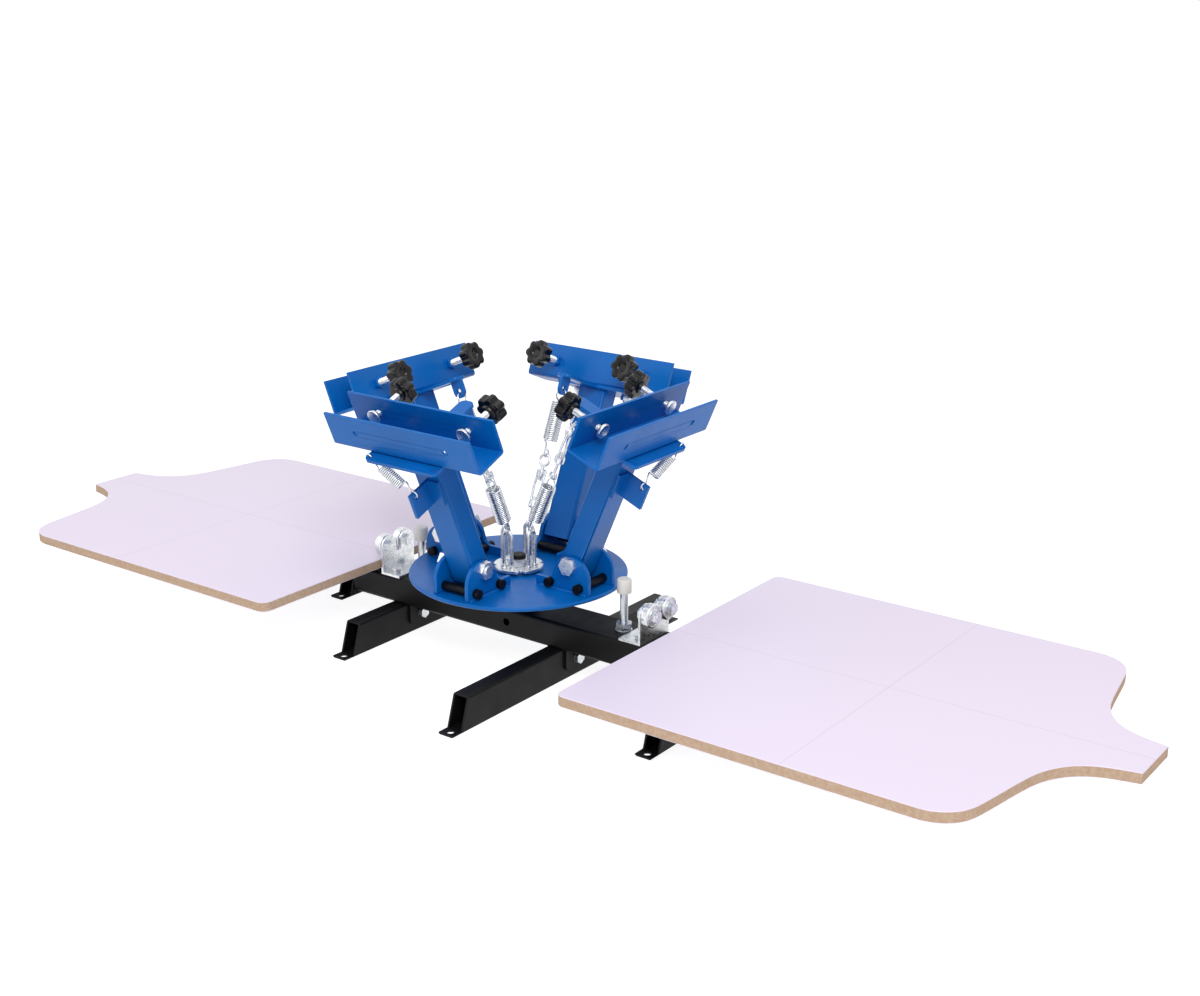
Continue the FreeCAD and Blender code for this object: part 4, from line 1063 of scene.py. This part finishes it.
@dataclass
class PrintBoards(PieceMaker):
    """The two boards with their necks, in millimetres: half an outline by stations, mirrored.

    A station is its distance from the inner edge, its distance sideways and the outline's
    slope there in degrees.
    """

    half: float = 225.0
    corner: float = 12.0
    edge: float = 0.5
    stations: Tuple[Point, ...] = (
        (410.0, 225.0, 0.0), (443.0, 210.0, 48.0), (456.5, 172.0, 80.0), (468.0, 106.0, 78.0),
        (489.0, 63.0, 48.0), (528.0, 41.0, 14.0), (550.0, 36.0, 12.0))

    def outline(self) -> Array:
        """Draw the outline from the inner edge outwards: a quarter round, then cubics.

        Returns:
            Rows of (distance from the inner edge, distance sideways), once round.
        """
        turn = np.linspace(0, QUARTER_TURN, 9)
        radius = self.corner
        first = np.stack([radius - radius * np.cos(turn),
                          self.half - radius + radius * np.sin(turn)], 1)
        out, aside, slope_deg = np.array(self.stations).T
        dips = np.radians(slope_deg)
        ways = np.stack([np.cos(dips), -np.sin(dips), 0 * dips], 1)
        curve = smooth_path(np.stack([out, aside, 0 * dips], 1), ways, 12)
        run = np.concatenate([first, curve[:, :2]])
        return np.concatenate([run, run[::-1] * (1, -1)])

    def slab(self, low: float, high: float) -> Surface:
        """Stack four loops, the outer two drawn in along their normals: p' = p - e n.

        Args:
            low: the height of the lower face.
            high: the height of the upper face.

        Returns:
            The board with its inner edge on the spindle's side at zero.
        """
        loop = self.outline()
        ahead = np.roll(loop, -1, 0) - np.roll(loop, 1, 0)
        out = np.stack([-ahead[:, 1], ahead[:, 0]], 1) / np.linalg.norm(ahead, axis=1)[:, None]
        edge = self.edge
        levels = ((low, edge), (low + edge, 0.0), (high - edge, 0.0), (high, edge))
        rows = [np.column_stack([loop - inset * out, np.full(len(loop), z)]) for z, inset in levels]
        return Surface.grid(np.stack(rows))

    def build(self) -> None:
        """Put both boards in place of their plain solids."""
        for label, sign in (("right", 1.0), ("left", -1.0)):
            low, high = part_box("board_" + label)
            inner = (low.x if sign > 0 else high.x) / MM
            slab = self.slab(low.z / MM, high.z / MM)
            board = Surface(slab.points * (sign, sign, 1.0) + (inner, 0.0, 0.0), slab.faces)
            self.put("print_board_" + label, board, Look.BOARD, "station_" + label,
                     "board_" + label)


@dataclass
class HubStaples(PieceMaker):
    """Four bent wire staples with their nuts on the hub plate, in millimetres."""

    radius: float = 20.0
    wire: float = 2.0
    half: float = 6.0
    foot: float = 119.0
    seat: float = 122.5
    height: float = 168.0
    nut_flats: float = 7.0
    nut_thick: float = 3.2

    def staple(self) -> Surface:
        """Bend one staple at azimuth zero: two legs and a bow, p = c + h (y cos t + z sin t).

        Returns:
            The wire and its two nuts.
        """
        turn = np.linspace(math.pi, 0, 21)[:, None]
        top = np.array([self.radius, 0.0, self.height - self.half])
        legs = np.array([[self.radius, side * self.half, self.foot] for side in SIDES])
        path = np.concatenate([legs[:1], top + self.half * bent(turn, Y_AXIS, Z_AXIS), legs[1:]])
        nuts = [hexagon(np.array([self.radius, side * self.half, self.seat]), Z_AXIS,
                        self.nut_flats, self.nut_thick) for side in SIDES]
        return Surface.joined([swept(path, self.wire, 16), *nuts])

    def build(self) -> None:
        """Put the four staples in place of their plain solid."""
        staple = self.staple()
        staples = Surface.joined([staple.moved(self.layout.around, arm) for arm in Arm])
        self.put("wire_staples", staples, Look.ZINC_PLATE, "carousel", "hub_staples")


@dataclass
class HeadFittings(PieceMaker):
    """The button bolts, the small spring and the side screw on each arm, in millimetres."""

    bolt_x: float = 9.0
    bolt_half: float = 36.0
    bolt_seat: float = 176.8
    bolt_radius: float = 4.0
    bolt_point: float = 0.8
    cap_radius: float = 7.0
    cap_thick: float = 3.5
    cap_flat: float = 3.2
    socket_radius: float = 2.6
    socket_depth: float = 2.0
    nut_flats: float = 13.0
    nut_thick: float = 6.5
    bolt_end: float = 2.0
    wire: float = 0.9
    coil: Coil = Coil(6.0, 30.0, 13.5)
    upper_eye: Point = (37.5, 49.0, 171.8)
    lower_eye: Point = (36.0, 0.0, 130.0)
    screw_thick: float = 6.0
    screw_rise: float = 150.0

    def button_bolt(self, side: int) -> Surface:
        """Turn a button bolt with its socket and nut: r = s + (R - s) cos t, h = H sin t.

        Args:
            side: minus one or one.

        Returns:
            The bolt and its nut.
        """
        seat = np.array([self.bolt_x, side * self.bolt_half, self.bolt_seat])
        under = np.array([self.bolt_x, side * self.bolt_half, LEG_TOP])
        tip = LEG_TOP - self.nut_thick - self.bolt_end - self.bolt_seat
        t = np.linspace(0, QUARTER_TURN, 7)
        flat, radius, point = self.cap_flat, self.bolt_radius, self.bolt_point
        dome = np.stack([self.cap_thick * np.sin(t),
                         flat + (self.cap_radius - flat) * np.cos(t)], 1)
        stem = ((tip, CORE_RADIUS), (tip, radius - point), (tip + point, radius), (0.0, radius))
        well = self.cap_thick - self.socket_depth
        socket = ((self.cap_thick, self.socket_radius), (well, self.socket_radius),
                  (well, CORE_RADIUS))
        bolt = turned(np.concatenate([stem, dome, socket]), seat, Z_AXIS, 30)
        return Surface.joined([bolt, hexagon(under, -Z_AXIS, self.nut_flats, self.nut_thick)])

    def spring(self, hand: int) -> Surface:
        """Wind the small spring between the head plate's corner and the tab, in one wire.

        Args:
            hand: the side of the arm that it stands on.

        Returns:
            The wire as a tube.
        """
        out = hand * Y_AXIS
        upper, lower = np.array(self.upper_eye) * (1, hand, 1), np.array(self.lower_eye)
        top_end, low_end = upper - out * EYE_RADIUS, lower + out * EYE_RADIUS
        way = (low_end - top_end) / np.linalg.norm(low_end - top_end)
        side = X_AXIS - way * way[0]
        side = side / np.linalg.norm(side)
        across = np.cross(way, side) * -hand
        start = (top_end + low_end) / 2 - way * self.coil.length / 2
        top, top_way = eye_stations(upper, out, -Z_AXIS)
        coil, coil_way = self.coil.stations(start, side, across, way)
        low, low_way = eye_stations(lower, -out, Z_AXIS)
        points = np.concatenate([top, coil, low[::-1]])
        ways = np.concatenate([top_way, coil_way, -low_way[::-1]])
        return swept(smooth_path(points, ways), self.wire, 10)

    def build(self) -> None:
        """Put each arm's fittings in place of their plain solids."""
        for arm in Arm:
            seat = np.array([0.0, arm.hand * LEG_HALF, self.screw_rise])
            head = hexagon(seat, arm.hand * Y_AXIS, self.nut_flats, self.screw_thick)
            parts = [*map(self.button_bolt, SIDES), self.spring(arm.hand), head]
            fittings = Surface.joined(parts).moved(self.layout.on_arm, arm)
            self.put("arm_fittings_" + arm.label, fittings, Look.ZINC_PLATE,
                     "arm_" + arm.label, "head_fittings_" + arm.label)


@dataclass
class WeldBeads(PieceMaker):
    """Short fillet welds under the paint, in millimetres."""

    bead: float = 1.5
    ripple: float = 2.2
    ripple_depth: float = 0.12
    least_end: float = 0.02
    disc_top: float = 115.5
    lug_inner: float = 52.0
    lug_outer: float = 120.0
    lug_face: float = 26.0
    leg_front: float = 10.0
    leg_back: float = -18.0
    front_margin: float = 3.0
    side_margin: float = 4.0

    def line(self, start: Point, end: Point) -> Surface:
        """Lay a bead along a line: r = b (1 + d cos(2 pi s / w)), drawn in at both ends.

        Args:
            start: where it begins.
            end: where it ends.

        Returns:
            The bead.
        """
        first, last = np.array(start), np.array(end)
        length = float(np.linalg.norm(last - first))
        s = np.linspace(0, length, int(length / self.ripple * 6))
        close = np.sqrt(np.clip(np.minimum(s, length - s) / self.bead, self.least_end, 1))
        wave = 1 + self.ripple_depth * np.cos(FULL_TURN * s / self.ripple)
        return swept(first + (last - first) * (s / length)[:, None], self.bead * wave * close, 10)

    def build(self) -> None:
        """Lay the beads at the lugs' feet and at the leg tops."""
        half, front, z = LEG_HALF - self.front_margin, self.leg_front, LEG_TOP
        ends = self.leg_back + self.side_margin, front - self.side_margin
        feet = [self.line((self.lug_inner, side * self.lug_face, self.disc_top),
                          (self.lug_outer, side * self.lug_face, self.disc_top)) for side in SIDES]
        tops = [self.line((front, -half, z), (front, half, z))]
        for side in SIDES:
            y = side * LEG_HALF
            tops.append(self.line((ends[0], y, z), (ends[1], y, z)))
        for arm in Arm:
            for start, beads, move, body in (
                    ("lug_welds_", feet, self.layout.around, "carousel"),
                    ("leg_welds_", tops, self.layout.on_arm, "arm_" + arm.label)):
                self.put(start + arm.label, Surface.joined(beads).moved(move, arm),
                         Look.BLUE_POWDER_COAT, body, sharp_deg=SHARP_WELD_DEG)


@dataclass
class DressedNodes:
    """The CAD nodes that keep their own shape and get a finish and softened edges."""

    nodes: Dict[str, Thing]
    finishes: Dict[Look, Material]
    edge_mm: float = 0.5
    small_edge_mm: float = 0.25
    join_mm: float = 0.004
    sharp_deg: float = 35.0

    def finish_of(self, name: str) -> Look:
        """Choose a node's finish by the start of its name, or else zinc plate."""
        found = (finish for starts, finish in NODE_FINISHES if name.startswith(starts))
        return next(found, Look.ZINC_PLATE)

    def soften(self, piece: Thing, edge_mm: float) -> None:
        """Round a node's edges with modifiers only.

        Args:
            piece: the node's object.
            edge_mm: the width of the rounding.
        """
        piece.modifiers.new("Join faces", "WELD").merge_threshold = self.join_mm * MM
        bevel = piece.modifiers.new("Soft edges", "BEVEL")
        bevel.width = edge_mm * MM
        bevel.segments = 2
        bevel.limit_method = "ANGLE"
        bevel.angle_limit = math.radians(self.sharp_deg)
        bevel.harden_normals = True
        bevel.use_clamp_overlap = True

    def build(self) -> None:
        """Give every node its finish, and soften the edges of those that show."""
        for name, piece in self.nodes.items():
            finish = self.finish_of(name)
            piece.data.materials.clear()
            piece.data.materials.append(self.finishes[finish])
            if not piece.hide_render:
                self.soften(piece, self.edge_mm if finish in PAINTED else self.small_edge_mm)


@dataclass(frozen=True)
class Lamp:
    """A square area lamp: place and side in metres, power in watts."""

    name: str
    place_m: Point
    size_m: float
    watts: float


@dataclass
class Studio:
    """White ground, soft lamps and the camera of the photograph, in millimetres and degrees."""

    spindle_x: float
    focal_px: float = 1698.29
    yaw_deg: float = -36.106
    pitch_deg: float = 17.385
    roll_deg: float = 0.375
    eye: Point = (1213.24, -1498.07, 808.36)
    sensor_mm: float = 36.0
    far_m: float = 50.0
    floor_size: float = 30000.0
    floor_shade: str = "#F4F4F4"
    floor_glow: float = 1.75
    floor_share: float = 0.5
    world_light: float = 0.36
    aim_m: Point = (0.0, 0.0, 0.15)
    lamps: Tuple[Lamp, ...] = (
        Lamp("Key from the right front", (1.6, -1.8, 2.4), 1.6, 54.0),
        Lamp("Fill from the left", (-2.2, -1.2, 1.6), 2.0, 14.0),
        Lamp("Top light", (0.0, 0.3, 2.6), 2.4, 14.0))

    def camera(self) -> None:
        """Place the camera by its yaw, pitch and roll."""
        yaw, pitch, roll = (math.radians(v) for v in (self.yaw_deg, self.pitch_deg, self.roll_deg))
        ahead = Vector((math.sin(yaw) * math.cos(pitch), math.cos(yaw) * math.cos(pitch),
                        -math.sin(pitch)))
        level = Vector((math.cos(yaw), -math.sin(yaw), 0.0))
        above = level.cross(ahead)
        right = level * math.cos(roll) + above * math.sin(roll)
        up = above * math.cos(roll) - level * math.sin(roll)
        data = bpy.data.cameras.new("Photo camera")
        data.sensor_fit = "HORIZONTAL"
        data.sensor_width = self.sensor_mm
        data.lens = self.sensor_mm * self.focal_px / PHOTO_WIDTH_PX
        data.clip_end = self.far_m
        camera = new_object("Photo camera", data)
        place = (Vector(self.eye) + Vector((self.spindle_x, 0.0, 0.0))) * MM
        turn = Matrix((right, up, -ahead)).transposed().to_4x4()
        camera.matrix_world = Matrix.Translation(place) @ turn
        bpy.context.scene.camera = camera

    def light(self, lamp: Lamp) -> None:
        """Set up a lamp and point it at the press.

        Args:
            lamp: the lamp's values.
        """
        data = bpy.data.lights.new(lamp.name, "AREA")
        data.size = lamp.size_m
        data.energy = lamp.watts
        stand = new_object(lamp.name, data)
        stand.location = lamp.place_m
        aim = Vector(self.aim_m) - Vector(lamp.place_m)
        stand.rotation_euler = aim.to_track_quat("-Z", "Y").to_euler()

    def world(self) -> None:
        """Make the world white to the eye and plain in the light that it gives."""
        bpy.context.scene.world = bpy.data.worlds.new("White studio")
        shader = Shader(bpy.context.scene.world)
        strength = shader.ranged(shader.seen_directly(), 0.0, 1.0, self.world_light, 1.0)
        back = shader.add("Background", {"Color": linear("#FFFFFF"), "Strength": strength})
        shader.add("OutputWorld", {"Surface": back[0]})

    def floor(self) -> None:
        """Lay a white floor that keeps a soft shadow."""
        half = self.floor_size / 2
        corners = np.array([(x, y, 0.0) for y in (half, -half) for x in (-half, half)])
        mesh = new_mesh("Studio floor", Surface(corners, [(0, 1, 3, 2)]))
        shader = Shader(bpy.data.materials.new("White studio floor"))
        matt = shader.add("BsdfDiffuse", {"Color": linear(self.floor_shade)})
        bright = {"Color": linear("#FFFFFF"), "Strength": self.floor_glow}
        share = shader.maths("MULTIPLY", shader.seen_directly(), self.floor_share)
        both = {0: share, 1: matt[0], 2: shader.add("Emission", bright)[0]}
        shader.add("OutputMaterial", {"Surface": shader.add("MixShader", both)[0]})
        mesh.materials.append(shader.owner)
        floor = new_object("Studio floor", mesh)

    def build(self) -> None:
        """Set up the camera, the world, the floor and the lamps."""
        bpy.context.scene.view_settings.view_transform = "Standard"
        self.camera()
        self.world()
        self.floor()
        for lamp in self.lamps:
            self.light(lamp)


def main() -> None:
    """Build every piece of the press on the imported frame."""
    logging.basicConfig(level=logging.INFO, format="%(name)s: %(message)s")
    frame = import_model()
    layout = PressLayout.from_joints(frame["joints"])
    right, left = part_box("board_right"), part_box("board_left")
    lines = (right[0].x / MM + BOARD_LINE_MM, left[1].x / MM - BOARD_LINE_MM)
    thick = (right[1].z - right[0].z) / MM
    cap_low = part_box("down_stops")[1].z / MM - STOP_CAP_MM
    finishes = build_finishes(right[1].z / MM, thick, lines, cap_low)
    for maker in (ClampScrew, ReturnLink, PrintBoards, HubStaples, HeadFittings, WeldBeads):
        maker(layout, finishes).build()
    DressedNodes(frame["nodes"], finishes).build()
    Studio(layout.spindle_x).build()
    LOG.info("press built")


if __name__ == "__main__":
    main()
